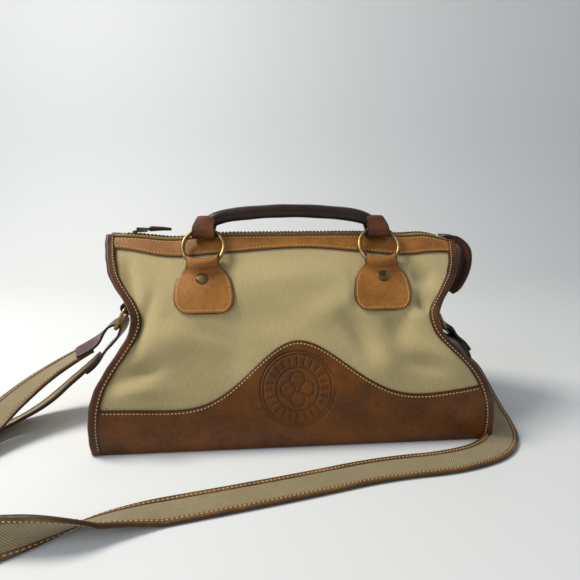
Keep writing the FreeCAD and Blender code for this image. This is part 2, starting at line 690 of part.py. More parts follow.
STRAP_ROUTE = [
    (163.0, 10.0, 56.0), (179.0, 13.0, 38.0), (186.0, 0.0, 16.0), (182.0, -40.0, 5.5),
    (166.0, -88.0, 5.0), (120.0, -106.0, 5.0), (60.0, -110.0, 5.0), (0.0, -124.0, 5.0),
    (-60.0, -136.0, 5.0), (-112.0, -146.0, 5.0), (-160.0, -168.0, 5.0),
    (-212.0, -174.0, 5.0), (-250.0, -140.0, 5.0), (-256.0, -92.0, 8.0),
    (-238.0, -46.0, 26.0), (-208.0, -14.0, 48.0), (-178.0, -2.0, 62.0),
]
RETURN_ROUTE = [
    (-176.0, 3.0, 50.0), (-196.0, 0.0, 32.0), (-226.0, -18.0, 12.0),
    (-262.0, -48.0, 6.0), (-268.0, -92.0, 5.0),
]
ROUTE_HALF_LENGTH = 160.0   # half sizes of the base that the two routes were laid round
ROUTE_HALF_DEPTH = 74.0
CHAPE_WIDTH = 20.0
CHAPE_THICK = 5.0


def beside_base(route):
    """A strap route kept as far from the base's ends and front as it was laid."""
    longer = HALF_LENGTH - ROUTE_HALF_LENGTH
    deeper = HALF_DEPTH - ROUTE_HALF_DEPTH
    moved = []
    for x, y, z in route:
        share = max(-1.0, min(1.0, x / ROUTE_HALF_LENGTH))
        front = max(0.0, min(1.0, -y / ROUTE_HALF_DEPTH))
        moved.append(Vec(x + share * longer, y - front * deeper, z))
    return moved


def chape(low, end):
    """Folded leather end of the strap: round the ring's wire, then flat to the web."""
    inner = STRAP_RING_WIRE / 2 + RUN_FIT + 0.8
    outer = inner + 1.8
    centre = Vec(low.x, 0, low.z)
    half = CHAPE_WIDTH / 2
    fold = Part.makeCylinder(outer, CHAPE_WIDTH, centre - Vec(0, half, 0), Vec(0, 1, 0))
    hole = Part.makeCylinder(inner, CHAPE_WIDTH + 2, centre - Vec(0, half + 1, 0), Vec(0, 1, 0))
    along = (end - centre).normalize()
    flat = Vec(along.x, 0, along.z).normalize()
    reach = (end - centre).dot(flat)
    bar = Part.makeBox(reach, CHAPE_WIDTH, CHAPE_THICK, Vec(0, -half, -CHAPE_THICK / 2))
    turn = FreeCAD.Rotation(Vec(1, 0, 0), flat)
    bar.Placement = FreeCAD.Placement(centre, turn)
    return fold.fuse(bar).cut(hole).removeSplitter()


def strap_slide(at, along):
    """Brass slide: a flat wire frame with a middle bar, across both plies."""
    wide = STRAP_WIDTH + 6.0
    long = 20.0
    wire = 1.5
    across = Vec(-along.y, along.x, 0).normalize()
    corners = [at + across * (a * wide / 2) + along * (b * long / 2)
               for a, b in ((-1, -1), (1, -1), (1, 1), (-1, 1))]
    pairs = list(zip(corners, corners[1:] + corners[:1]))
    pairs.append((at - across * (wide / 2), at + across * (wide / 2)))
    bars = []
    for a, b in pairs:
        bars.append(Part.makeCylinder(wire, (b - a).Length, a, b - a))
        bars.append(Part.makeSphere(wire, a))
    frame = bars[0]
    for bar in bars[1:]:
        frame = frame.fuse(bar)
    return frame.removeSplitter()


def strap(lows):
    points = beside_base(STRAP_ROUTE)
    web = tube(points, WEB_R, "shoulder_strap")
    back = tube(beside_base(RETURN_ROUTE), WEB_R, "strap_return")
    right = chape(lows[1], points[0])
    left = chape(lows[-1], points[-1])
    export(web.cut(right).cut(left), "shoulder_strap")
    export(back.cut(left).cut(web), "strap_return")
    export(right, "strap_chape_right")
    export(left, "strap_chape_left")
    place = beside_base([(-259.0, -100.0, 12.0)])[0]
    export(strap_slide(place, Vec(-0.1, -1.0, 0).normalize()).cut(web).cut(back), "strap_slide")


def main():
    os.makedirs("parts", exist_ok=True)
    print("fold", FOLD, "ring top", RING_TOP)
    panel_and_hardware("front")
    panel_and_hardware("back")
    pin = zip_pieces()
    print("zip pin", pin)
    base_pieces()
    lows = end_pieces()
    print("strap ring lows", lows)
    export(zip_end_tab(), "zip_end_tab")
    strap(lows)


main()
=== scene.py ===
"""Doctor bag: canvas panels with leather trim, two rolled handles on rings, a brass zip,
pinched canvas ends and a webbing shoulder strap. Metres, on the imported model's frame."""
import math

import bpy
import numpy as np
from mathutils import Matrix, Vector


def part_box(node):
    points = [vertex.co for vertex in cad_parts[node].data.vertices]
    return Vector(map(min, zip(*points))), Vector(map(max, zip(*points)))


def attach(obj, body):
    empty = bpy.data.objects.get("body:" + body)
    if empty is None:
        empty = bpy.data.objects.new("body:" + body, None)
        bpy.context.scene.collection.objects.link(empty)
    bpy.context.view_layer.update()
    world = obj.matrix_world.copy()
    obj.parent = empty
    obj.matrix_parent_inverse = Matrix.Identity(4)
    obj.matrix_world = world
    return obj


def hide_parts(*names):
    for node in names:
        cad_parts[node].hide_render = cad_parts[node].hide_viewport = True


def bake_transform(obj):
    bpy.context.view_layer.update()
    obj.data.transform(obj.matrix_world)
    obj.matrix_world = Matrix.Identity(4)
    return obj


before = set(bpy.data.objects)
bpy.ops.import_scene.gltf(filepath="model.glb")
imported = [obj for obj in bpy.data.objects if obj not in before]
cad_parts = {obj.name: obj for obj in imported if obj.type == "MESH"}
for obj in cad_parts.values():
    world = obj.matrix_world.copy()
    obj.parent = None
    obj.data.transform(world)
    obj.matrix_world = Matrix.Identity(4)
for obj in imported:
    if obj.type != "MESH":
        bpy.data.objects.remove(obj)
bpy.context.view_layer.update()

bpy.ops.object.select_all(action="DESELECT")


# ---- canvas panels --------------------------------------------------------------------------
# Heavy cotton twill, cut to the bag's side view and sewn into the leather trim. It is
# soft, so it puffs out low down and has folds beside the handle patches.
MM = 0.001
CANVAS_THICK = 1.2


def smooth_line(points):
    """Close samples of the smooth line through the points, and the length up to each."""
    p = np.array(points, float)
    t = np.r_[0, np.cumsum(np.linalg.norm(np.diff(p, axis=0), axis=1))]
    n, h = len(t), np.diff(t)
    rows, right = np.eye(n), np.zeros(p.shape)
    for i in range(1, n - 1):
        rows[i, i - 1:i + 2] = h[i - 1], 2 * (h[i - 1] + h[i]), h[i]
        right[i] = 6 * ((p[i + 1] - p[i]) / h[i] - (p[i] - p[i - 1]) / h[i - 1])
    bend = np.linalg.solve(rows, right)
    fine = np.linspace(0, t[-1], 500)
    i = np.clip(np.searchsorted(t, fine) - 1, 0, n - 2)
    a, b, w = (t[i + 1] - fine)[:, None], (fine - t[i])[:, None], h[i][:, None]
    line = ((bend[i] * a ** 3 + bend[i + 1] * b ** 3) / (6 * w)
            + (p[i] / w - bend[i] * w / 6) * a + (p[i + 1] / w - bend[i + 1] * w / 6) * b)
    length = np.r_[0, np.cumsum(np.linalg.norm(np.diff(line, axis=0), axis=1))]
    return line, length


side_line, side_length = smooth_line([
    (-74, 3.2), (-76, 20.8), (-73, 48), (-63.6, 76.8), (-49.6, 105.6), (-31.8, 130.4), (-6, 160)])
side_slope = np.gradient(side_line, side_length, axis=0)
SIDE_TOP = side_length[-1]
left_edge, _ = smooth_line([
    (-159, -4), (-159, 19.2), (-150.4, 57.6), (-128, 102.4), (-145.9, 128), (-156, 166)])
right_edge, _ = smooth_line([
    (159, -4), (159, 19.2), (146.8, 57.6), (116, 96), (136.5, 128), (148, 166)])


def side_height(d):
    """Height of the panel a distance up its side view."""
    return 3.2 + d if d < 0 else float(np.interp(d, side_length, side_line[:, 1]))


def distance_at(z):
    """Distance up the side view at a height."""
    return z - 3.2 if z < 3.2 else float(np.interp(z, side_line[:, 1], side_length))


def edge_at(side, z, inset=0.0):
    line = left_edge if side < 0 else right_edge
    return float(np.interp(z, line[:, 1], line[:, 0])) - side * inset


# x, z, reach along x, reach along z, turn in degrees, rise of each hollow or puff
FOLDS = [
    (104, 108, 15, 6.0, -30, -9.0), (106, 96, 21, 6, -42, 6.0), (122, 70, 24, 13, -35, 8.0),
    (109, 127, 11, 7, -20, -5.5), (82, 94, 9, 15, 8, -5.2), (104, 64, 17, 6, -12, -4.2),
    (53, 84, 7, 22, 35, -4.6), (34, 108, 26, 10, 20, 3.0), (-131, 126, 5, 20, 22, -5.5),
    (-119, 98, 5, 18, -18, -5.0), (-124, 50, 18, 8, 0, 6.0), (-116, 65, 13, 5, 12, -5.0),
    (-98, 86, 24, 14, 8, 4.6), (-20, 100, 34, 13, -8, -3.2), (0, 128, 42, 10, 0, 2.6),
    (-50, 72, 12, 17, 40, -3.0), (68, 66, 14, 12, -30, 3.4), (-72, 92, 20, 6, -18, -2.6)]
PATCH_X = 73.5


def sag(x, z, face):
    """How far the cloth stands out from its plain shape, in mm. It lies flat under the patches."""
    if face > 0:
        x = -x
    total = 0.0
    for fx, fz, rx, rz, turn, rise in FOLDS:
        c, s = math.cos(math.radians(turn)), math.sin(math.radians(turn))
        u, v = (x - fx) * c + (z - fz) * s, (z - fz) * c - (x - fx) * s
        total += rise * math.exp(-(u / rx) ** 2 - (v / rz) ** 2)
    near_patch = max(abs(abs(x) - PATCH_X) - 23, abs(z - 124) - 19, 0) / 7
    near_end = max(edge_at(1, z) - x, 0) if x > 0 else max(x - edge_at(-1, z), 0)
    low = min(max((z - 4) / 22, 0), 1)
    high = min(max((150 - z) / 12, 0), 1)
    return total * min(near_patch, 1) * min(0.15 + near_end / 26, 1) * low * high


def ridge_drop(x, z):
    """How far the soft top edge sinks between the handles and at the right end."""
    dip = 3.4 * math.exp(-((x + 100) / 24) ** 2) + 1.8 * math.exp(-((x - 96) / 22) ** 2)
    end = min(max((x - 112) / 36, 0), 1)
    dip += 7.0 * end * end * (3 - 2 * end)
    share = min(max((z - 118) / 42, 0), 1)
    return dip * share


def skin(x, d, off, face):
    """A point of the panel: x along the bag, d up the side view, off outwards, all in mm."""
    z = side_height(d)
    if d < 0:
        y, ny, nz = -74.0, -1.0, 0.0
    else:
        y = float(np.interp(d, side_length, side_line[:, 0]))
        ay = float(np.interp(d, side_length, side_slope[:, 0]))
        az = float(np.interp(d, side_length, side_slope[:, 1]))
        size = math.hypot(ay, az)
        ny, nz = -az / size, ay / size
    reach = off + sag(x, z, face)
    y, z = y + ny * reach, z + nz * reach - ridge_drop(x, z)
    return Vector((x, -face * y if face > 0 else y, z)) * MM


def sheet_of(name, columns, rows, place, flip=False):
    """A grid laid on the surface by place(a, b), which gives a point, its place on the flat
    material in metres, and how dark it is painted there, from 0 to 1: burnished edges, and in
    some pieces painted shade and painted shadow lines."""
    bpy.ops.object.select_all(action="DESELECT")
    bpy.ops.mesh.primitive_grid_add(x_subdivisions=columns, y_subdivisions=rows, size=2)
    piece = bpy.context.object
    piece.name = piece.data.name = name
    mesh = piece.data
    # darkness per point: burnished edges, plus painted shade and painted shadow lines on some pieces
    edge = mesh.attributes.new("burnished_edge_and_painted_shade", "FLOAT", "POINT")
    flat = []
    for vertex in mesh.vertices:
        point, where, near = place((vertex.co.x + 1) / 2, (vertex.co.y + 1) / 2)
        vertex.co = point
        edge.data[vertex.index].value = near
        flat.append(where)
    for loop in mesh.loops:
        mesh.uv_layers.active.data[loop.index].uv = flat[loop.vertex_index]
    if flip:
        bpy.ops.object.mode_set(mode="EDIT")
        bpy.ops.mesh.select_all(action="SELECT")
        bpy.ops.mesh.flip_normals()
        bpy.ops.object.mode_set(mode="OBJECT")
    bpy.ops.object.shade_smooth()
    return piece


def thicken(piece, thick, offset=-1.0):
    """Give a sheet its thickness, inwards from its outer face."""
    bpy.ops.object.select_all(action="DESELECT")
    piece.select_set(True)
    bpy.context.view_layer.objects.active = piece
    modifier = piece.modifiers.new("Thickness", "SOLIDIFY")
    modifier.thickness = thick * MM
    modifier.offset = offset
    modifier.use_even_offset = False
    bpy.ops.object.modifier_apply(modifier=modifier.name)
    bpy.ops.object.shade_smooth_by_angle(angle=math.radians(45))
    return piece


def colour(code):
    """Linear colour of an sRGB hex code."""
    parts = [int(code[i:i + 2], 16) / 255 for i in (1, 3, 5)]
    return [c / 12.92 if c <= 0.04045 else ((c + 0.055) / 1.055) ** 2.4 for c in parts] + [1.0]


def add_node(tree, kind, inputs=None, **settings):
    """Add a node with its settings, and link or fill its inputs."""
    made = tree.nodes.new(kind)
    for name, value in settings.items():
        setattr(made, name, value)
    for socket, value in (inputs or {}).items():
        if isinstance(value, bpy.types.NodeSocket):
            tree.links.new(value, made.inputs[socket])
        else:
            made.inputs[socket].default_value = value
    return made


def new_material(name):
    """An empty material with its shader and output."""
    material = bpy.data.materials.new(name)
    material.use_nodes = True
    tree = material.node_tree
    tree.nodes.clear()
    shader = add_node(tree, "ShaderNodeBsdfPrincipled")
    add_node(tree, "ShaderNodeOutputMaterial", {"Surface": shader.outputs[0]})
    return material, tree, shader


def mix(tree, factor, first, second, blend="MIX"):
    """Two colours mixed by a factor."""
    made = add_node(tree, "ShaderNodeMix", {0: factor, 6: first, 7: second},
                    data_type="RGBA", blend_type=blend)
    return made.outputs[2]


def twill(name, light, dark, slope):
    """Cotton twill, woven: raised diagonals with slubs in the yarn, dull and a little fuzzy.
    The real diagonals are 1.4 mm apart."""
    material, tree, shader = new_material(name)
    flat = add_node(tree, "ShaderNodeTexCoord").outputs["UV"]
    turned = add_node(tree, "ShaderNodeMapping", {"Vector": flat, "Scale": (1, -slope, 1)})
    spacing = 0.0014 * math.hypot(1, slope)
    rib = add_node(tree, "ShaderNodeTexWave",
                   {"Vector": turned.outputs[0], "Scale": 2 * math.pi / 10 / spacing,
                    "Distortion": 0.5, "Detail": 1.0, "Detail Scale": 0.4},
                   bands_direction="DIAGONAL")
    yarn = add_node(tree, "ShaderNodeTexNoise",
                    {"Vector": add_node(tree, "ShaderNodeMapping",
                                        {"Vector": flat, "Scale": (1, 0.14, 1)}).outputs[0],
                     "Scale": 1 / 0.0011, "Detail": 3.0})
    stain = add_node(tree, "ShaderNodeTexNoise", {"Vector": flat, "Scale": 1 / 0.045, "Detail": 4.0})
    stain_range = add_node(tree, "ShaderNodeMapRange",
                           {"Value": stain.outputs[0], "From Min": 0.35, "From Max": 0.68,
                            "To Min": 0.0, "To Max": 0.35})
    weave = add_node(tree, "ShaderNodeMath", {0: rib.outputs[1], 1: yarn.outputs[0]},
                     operation="MULTIPLY")
    cloth = mix(tree, weave.outputs[0], colour(dark), colour(light))
    tree.links.new(mix(tree, stain_range.outputs[0], cloth, colour(dark)),
                   shader.inputs["Base Color"])
    shader.inputs["Roughness"].default_value = 0.92
    shader.inputs["Specular IOR Level"].default_value = 0.2
    shader.inputs["Sheen Weight"].default_value = 0.25
    shader.inputs["Sheen Roughness"].default_value = 0.6
    bump = add_node(tree, "ShaderNodeBump",
                    {"Height": weave.outputs[0], "Strength": 0.55, "Distance": 0.0004})
    tree.links.new(bump.outputs[0], shader.inputs["Normal"])
    return material


khaki_canvas = twill("khaki_cotton_twill", "#d3c08a", "#9a8a5e", 0.58)


def finish_with(piece, material):
    piece.data.materials.clear()
    piece.data.materials.append(material)
    return piece


SIDES = ((-1, "front"), (1, "back"))
for face, word in SIDES:
    def canvas_at(a, b, face=face):
        d = b * SIDE_TOP
        z = side_height(d)
        low, high = edge_at(-1, z, 3), edge_at(1, z, 3)
        x = low + (high - low) * a
        return skin(x, d, CANVAS_THICK, face), (x * MM, d * MM), 0.0
    panel = sheet_of(word + "_canvas_panel", 150, 84, canvas_at, flip=face > 0)
    thicken(panel, CANVAS_THICK - 0.1)
    finish_with(panel, khaki_canvas)
    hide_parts(word + "_canvas")
    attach(panel, word + "_side")


# ---- lining ---------------------------------------------------------------------------------
# Plain cotton behind the canvas, sewn in at the same seams. It shows when the bag is open.
def plain_cotton(name, light, dark):
    """Plain weave cotton, 0.6 mm threads, flat and dull."""
    material, tree, shader = new_material(name)
    flat = add_node(tree, "ShaderNodeTexCoord").outputs["UV"]
    heights = []
    for way in ("X", "Y"):
        thread = add_node(tree, "ShaderNodeTexWave",
                          {"Vector": flat, "Scale": 2 * math.pi / 20 / 0.0006,
                           "Distortion": 0.6}, bands_direction=way)
        heights.append(thread.outputs[1])
    weave = add_node(tree, "ShaderNodeMath", {0: heights[0], 1: heights[1]},
                     operation="MULTIPLY").outputs[0]
    tree.links.new(mix(tree, weave, colour(dark), colour(light)), shader.inputs["Base Color"])
    shader.inputs["Roughness"].default_value = 0.9
    bump = add_node(tree, "ShaderNodeBump", {"Height": weave, "Strength": 0.4, "Distance": 0.0002})
    tree.links.new(bump.outputs[0], shader.inputs["Normal"])
    return material


lining_cotton = plain_cotton("beige_lining_cotton", "#a5966f", "#6d6144")
for face, word in SIDES:
    def lining_at(a, b, face=face):
        d = 1 + b * (SIDE_TOP - 2)
        z = side_height(d)
        low, high = edge_at(-1, z, 3), edge_at(1, z, 3)
        x = low + (high - low) * a
        return skin(x, d, 0.0, face), (x * MM, d * MM), 0.0
    lining = sheet_of(word + "_lining_cotton", 90, 50, lining_at, flip=face > 0)
    thicken(lining, 0.7)
    finish_with(lining, lining_cotton)
    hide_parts(word + "_lining")
    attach(lining, word + "_side")


# ---- leather apron --------------------------------------------------------------------------
# Saddle leather, 1.5 mm, over the lower panel with a wave that rises in the middle. The
# top edge is cut, burnished dark with a painted shadow line along it, and stitched; a plain
# round motif is pressed into it. Painted shade darkens it towards its foot and its ends.
LEATHER_THICK = 1.5
OVER_CANVAS = CANVAS_THICK + LEATHER_THICK


def leather(name, light, dark, edge, shine=0.48, grain=0.0011):
    """Vegetable-tanned cowhide: uneven tan, fine grain about 1 mm wide, soft gloss where it
    is handled, and darker burnished edges. The same darkening also paints shade and shadow
    lines into the colour where a piece sets it."""
    material, tree, shader = new_material(name)
    place = add_node(tree, "ShaderNodeTexCoord").outputs["Object"]
    cloud = add_node(tree, "ShaderNodeTexNoise",
                     {"Vector": place, "Scale": 1 / 0.03, "Detail": 5.0, "Roughness": 0.6})
    speck = add_node(tree, "ShaderNodeTexNoise",
                     {"Vector": place, "Scale": 1 / 0.0035, "Detail": 4.0, "Roughness": 0.7})
    clouds = add_node(tree, "ShaderNodeMapRange",
                      {"Value": cloud.outputs[0], "From Min": 0.34, "From Max": 0.66})
    hide = mix(tree, clouds.outputs[0], colour(dark), colour(light))
    specks = add_node(tree, "ShaderNodeMapRange",
                      {"Value": speck.outputs[0], "From Min": 0.52, "From Max": 0.72,
                       "To Min": 0.0, "To Max": 0.4})
    hide = mix(tree, specks.outputs[0], hide, colour(edge))
    # burnished edges, and painted shade and painted shadow lines, darken the hide by this attribute
    near = add_node(tree, "ShaderNodeAttribute", attribute_name="burnished_edge_and_painted_shade")
    hide = mix(tree, near.outputs["Fac"], hide, colour(edge))
    tree.links.new(hide, shader.inputs["Base Color"])
    gloss = add_node(tree, "ShaderNodeMapRange",
                     {"Value": speck.outputs[0], "From Min": 0.3, "From Max": 0.7,
                      "To Min": shine - 0.08, "To Max": shine + 0.12})
    tree.links.new(gloss.outputs[0], shader.inputs["Roughness"])
    shader.inputs["Specular IOR Level"].default_value = 0.3
    pores = add_node(tree, "ShaderNodeTexVoronoi", {"Vector": place, "Scale": 1 / grain},
                     feature="DISTANCE_TO_EDGE")
    height = add_node(tree, "ShaderNodeMath", {0: pores.outputs["Distance"], 1: speck.outputs[0]},
                      operation="ADD")
    bump = add_node(tree, "ShaderNodeBump",
                    {"Height": height.outputs[0], "Strength": 0.25, "Distance": 0.0003})
    tree.links.new(bump.outputs[0], shader.inputs["Normal"])
    return material


apron_leather = leather("saddle_leather_dark", "#723f03", "#502d01", "#221100")
WAVE, _ = smooth_line([
    (-180, 39), (-112, 37), (-74, 39), (-40.9, 58.7), (0, 84), (40.9, 64.7), (82, 44),
    (121.6, 44), (180, 54)])
MOTIF_AT = (0.0, 46.0)


def motif(x, d):
    """Depth of the pressed motif: rings, rays and a four-petal rosette, in mm."""
    u, v = x - MOTIF_AT[0], d - MOTIF_AT[1]
    r, turn = math.hypot(u, v), math.atan2(v, u)
    line = 0.0
    for ring in (29.0, 26.6, 16.5, 2.0):
        line = max(line, 1 - abs(r - ring) / 0.9)
    if 18.6 < r < 24.6:
        ray = abs((turn * 24 / (2 * math.pi) + 0.5) % 1 - 0.5) * 2 * math.pi * r / 24
        line = max(line, 1 - ray / 0.9)
    reach, petal, stroke = 7.4, 5.6, 0.9
    for across, along in ((reach, 0), (-reach, 0), (0, reach), (0, -reach)):
        line = max(line, 1 - abs(math.hypot(u - across, v - along) - petal) / stroke)
    return -0.75 * min(max(line, 0) * 1.5, 1)


def wave_top(x):
    return distance_at(float(np.interp(x, WAVE[:, 0], WAVE[:, 1])))


def crowd(a, middle=0.56, share=0.2):
    """Columns closer together at the middle, where the motif is."""
    if a < (1 - middle) / 2:
        return a / ((1 - middle) / 2) * (1 - share) / 2
    if a > (1 + middle) / 2:
        return 1 - crowd(1 - a, middle, share)
    return 0.5 + (a - 0.5) * share / middle


def edge_fade(gap, reach):
    """1 at a cut edge, falling to 0 at the reach."""
    return max(0.0, 1 - gap / reach) ** 2


for face, word in SIDES:
    def apron_at(a, b, face=face):
        t, d = crowd(a), 30.0
        for _ in range(6):
            z = side_height(d)
            low, high = edge_at(-1, z, 6), edge_at(1, z, 6)
            x = low + (high - low) * t
            d = -2.2 + (wave_top(x) + 2.2) * (1 - (1 - b) ** 1.15)
        # the top edge's darkening is its burnished edge plus a painted shadow line
        edge = edge_fade(wave_top(x) - d, 2.6)
        # painted shade: darker towards both ends, where the panel turns into the pinch
        painted_end_shade = 0.30 * (edge_fade(x - low, 26) + edge_fade(high - x, 22))
        # painted shade: darker towards the foot, where the apron turns under, away from the light
        foot = 0.40 * edge_fade(d + 2.2, 9)
        press = motif(x, d) if face < 0 else 0.0
        off = OVER_CANVAS - 0.5 * edge + press
        return (skin(x, d, off, face), (x * MM, d * MM),
                min(1.3 * edge + painted_end_shade + foot - 0.3 * press, 1))
    apron = sheet_of(word + "_apron_leather", 190, 84, apron_at, flip=face > 0)
    thicken(apron, LEATHER_THICK - 0.1)
    finish_with(apron, apron_leather)
    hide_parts(word + "_apron")
    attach(apron, word + "_side")


# ---- leather band under the zip -------------------------------------------------------------
# Lighter saddle leather, 17 mm wide, sewn along both edges and turned over at the zip.
band_leather = leather("saddle_leather_tan", "#a06a2c", "#80501c", "#331806", shine=0.42)
BAND_EDGE, _ = smooth_line([
    (-160, 12.0), (-135, 14.0), (-113, 17.5), (-90, 19.0), (-53, 18.0), (-14, 14.5), (15, 13.8),
    (52, 17.5), (90, 20.5), (118, 19.0), (142, 14.0), (160, 12.0)])


def band_width(x):
    """The band was cut by eye: narrow at the middle and the ends, wide beside the handles."""
    return float(np.interp(x, BAND_EDGE[:, 0], BAND_EDGE[:, 1]))


for face, word in SIDES:
    def band_at(a, b, face=face):
        low, high = edge_at(-1, 156, 6), edge_at(1, 156, 6)
        x = low + (high - low) * a
        wide = band_width(x)
        d = SIDE_TOP - wide * (1 - b)
        # the lower edge is darkened as a burnished edge plus a painted shadow line
        lower = edge_fade(wide * b, 2.2)
        off = OVER_CANVAS + 0.35 * math.sin(math.pi * b) - 0.6 * edge_fade(wide * (1 - b), 1.6)
        return skin(x, d, off - 0.3 * lower, face), (x * MM, d * MM), min(1.0, 1.5 * lower)
    band = sheet_of(word + "_top_band_leather", 150, 16, band_at, flip=face > 0)
    thicken(band, LEATHER_THICK - 0.1)
    finish_with(band, band_leather)
    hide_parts(word + "_top_band")
    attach(band, word + "_side")


# ---- bindings at the ends -------------------------------------------------------------------
# A leather strip folded over the seam of panel and gusset and sewn through, thick and round.
binding_leather = leather("binding_leather_brown", "#653b12", "#361c07", "#190b03", shine=0.36)
# inset from the edge and height off the panel, round the strip's section
BINDING_SECTION = [
    (8.2, 1.4), (8.3, 2.6), (7.2, 3.3), (5.6, 3.5), (4.2, 3.3), (2.8, 3.9), (1.2, 3.7),
    (0.0, 2.2), (-0.1, 0.6), (0.9, -0.9), (3.0, -1.5), (6.0, -1.3), (8.0, -0.9), (8.1, 0.4)]


def close_up(piece):
    """Merge a rolled sheet's seam, fill its open ends and turn its faces outwards."""
    bpy.ops.object.select_all(action="DESELECT")
    piece.select_set(True)
    bpy.context.view_layer.objects.active = piece
    bpy.ops.object.mode_set(mode="EDIT")
    bpy.ops.mesh.select_all(action="SELECT")
    bpy.ops.mesh.remove_doubles(threshold=1e-6)
    bpy.ops.mesh.fill_holes(sides=0)
    bpy.ops.mesh.select_all(action="SELECT")
    bpy.ops.mesh.normals_make_consistent(inside=False)
    bpy.ops.object.mode_set(mode="OBJECT")
    bpy.ops.object.shade_smooth_by_angle(angle=math.radians(50))
    return piece


for face, word in SIDES:
    for side, end in ((-1, "left"), (1, "right")):
        def binding_at(a, b, face=face, side=side):
            turn = a * len(BINDING_SECTION)
            i, part = int(turn) % len(BINDING_SECTION), turn % 1
            (i0, o0), (i1, o1) = BINDING_SECTION[i], BINDING_SECTION[(i + 1) % len(BINDING_SECTION)]
            inset, off = i0 + (i1 - i0) * part, o0 + (o1 - o0) * part
            d = -1.8 + b * (SIDE_TOP + 3.0)
            z = side_height(min(d, SIDE_TOP))
            crumple = 0.35 * math.sin(d * 0.31 + side) * math.sin(d * 0.113 + 2 * face)
            x = edge_at(side, z, inset + crumple)
            near = edge_fade(inset, 3.4) + edge_fade(8.3 - inset, 1.2)
            top = edge_fade(SIDE_TOP + 1.2 - d, 3)
            point = skin(x, min(d, SIDE_TOP), off * (1 - 0.25 * top), face)
            point.z += max(d - SIDE_TOP, 0) * MM
            return point, (inset * MM, d * MM), min(0.15 + 0.6 * near, 1)
        strip = sheet_of(f"{word}_binding_leather_{end}", len(BINDING_SECTION), 84, binding_at)
        close_up(strip)
        finish_with(strip, binding_leather)
        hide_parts(f"{word}_binding_{end}")
        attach(strip, word + "_side")


# ---- stitching ------------------------------------------------------------------------------
# Waxed cream thread, lock stitched 2.8 mm apart through leather and canvas.
def thread(name, light, dark):
    """Waxed cotton thread, twisted 0.4 mm apart, a little shiny."""
    material, tree, shader = new_material(name)
    place = add_node(tree, "ShaderNodeTexCoord").outputs["Object"]
    twist = add_node(tree, "ShaderNodeTexWave", {"Vector": place, "Scale": 2 * math.pi / 20 / 0.0004})
    tree.links.new(mix(tree, twist.outputs[1], colour(dark), colour(light)),
                   shader.inputs["Base Color"])
    shader.inputs["Roughness"].default_value = 0.6
    return material


cream_thread = thread("waxed_cream_thread", "#dcc08a", "#a98650")
bpy.ops.mesh.primitive_uv_sphere_add(segments=6, ring_count=4, radius=1)
one_stitch = bpy.context.object
stitch_points = [v.co.copy() for v in one_stitch.data.vertices]
stitch_faces = [list(p.vertices) for p in one_stitch.data.polygons]
bpy.data.objects.remove(one_stitch)


def sew(name, lines, body, pitch=2.8, length=1.9, wide=0.42, high=0.34, with_thread=None):
    """Lay stitches along lines of (point, outward direction), and join them to one piece."""
    points, faces = [], []
    for line in lines:
        at = np.array([p for p, _ in line])
        up = np.array([n for _, n in line])
        far = np.r_[0, np.cumsum(np.linalg.norm(np.diff(at, axis=0), axis=1))]
        count = int(far[-1] / (pitch * MM))
        for i in range(count):
            s = (i + 0.5) * far[-1] / count
            centre, before, after, out = (
                Vector([np.interp(t, far, way[:, k]) for k in range(3)])
                for t, way in ((s, at), (s - 0.0008, at), (s + 0.0008, at), (s, up)))
            along = (after - before).normalized()
            across = along.cross(out).normalized()
            out = across.cross(along).normalized()
            first = len(points)
            for p in stitch_points:
                points.append(centre + (along * (p.x * length / 2) + across * (p.y * wide)
                                        + out * (p.z * high)) * MM)
            faces += [[first + v for v in face] for face in stitch_faces]
    mesh = bpy.data.meshes.new(name)
    mesh.from_pydata(points, [], faces)
    piece = bpy.data.objects.new(name, mesh)
    bpy.context.scene.collection.objects.link(piece)
    close_up(piece)
    finish_with(piece, with_thread or cream_thread)
    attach(piece, body)
    return piece


def on_skin(places, off, face):
    """A sewing line on the panel through places of (x, distance up), with its outward way."""
    line = []
    for x, d in places:
        low, high = skin(x, d, off, face), skin(x, d, off + 1, face)
        line.append((low, (high - low).normalized()))
    return line


for face, word in SIDES:
    across = np.linspace(0, 1, 260)
    rows = []
    low, high = edge_at(-1, 156, 9), edge_at(1, 156, 9)
    along_band = [low + (high - low) * t for t in across]
    rows.append(on_skin([(x, SIDE_TOP - band_width(x) + 2.4) for x in along_band],
                        OVER_CANVAS + 0.28, face))
    rows.append(on_skin([(x, SIDE_TOP - 3.2) for x in along_band], OVER_CANVAS + 0.28, face))
    low, high = edge_at(-1, 40, 9), edge_at(1, 46, 9)
    wave_places = []
    for t in across:
        x = low + (high - low) * t
        wave_places.append((x, wave_top(x) - 2.6))
    rows.append(on_skin(wave_places, OVER_CANVAS + 0.1, face))
    for side in (-1, 1):
        up = np.linspace(2, SIDE_TOP - 2, 200)
        rows.append(on_skin([(edge_at(side, side_height(d), 6.2), d) for d in up], 3.45, face))
    sew(word + "_panel_stitching", rows, word + "_side")


# ---- gussets --------------------------------------------------------------------------------
# The canvas ends, sewn to both panels and to the base, pushed in by hand between them.
# Each is two pieces that meet on the middle line.
END_TOP = 153.0


def inner_y(z):
    """Half the room between the linings at a height."""
    d = distance_at(z)
    return -float(np.interp(d, side_length, side_line[:, 0])) - 0.9


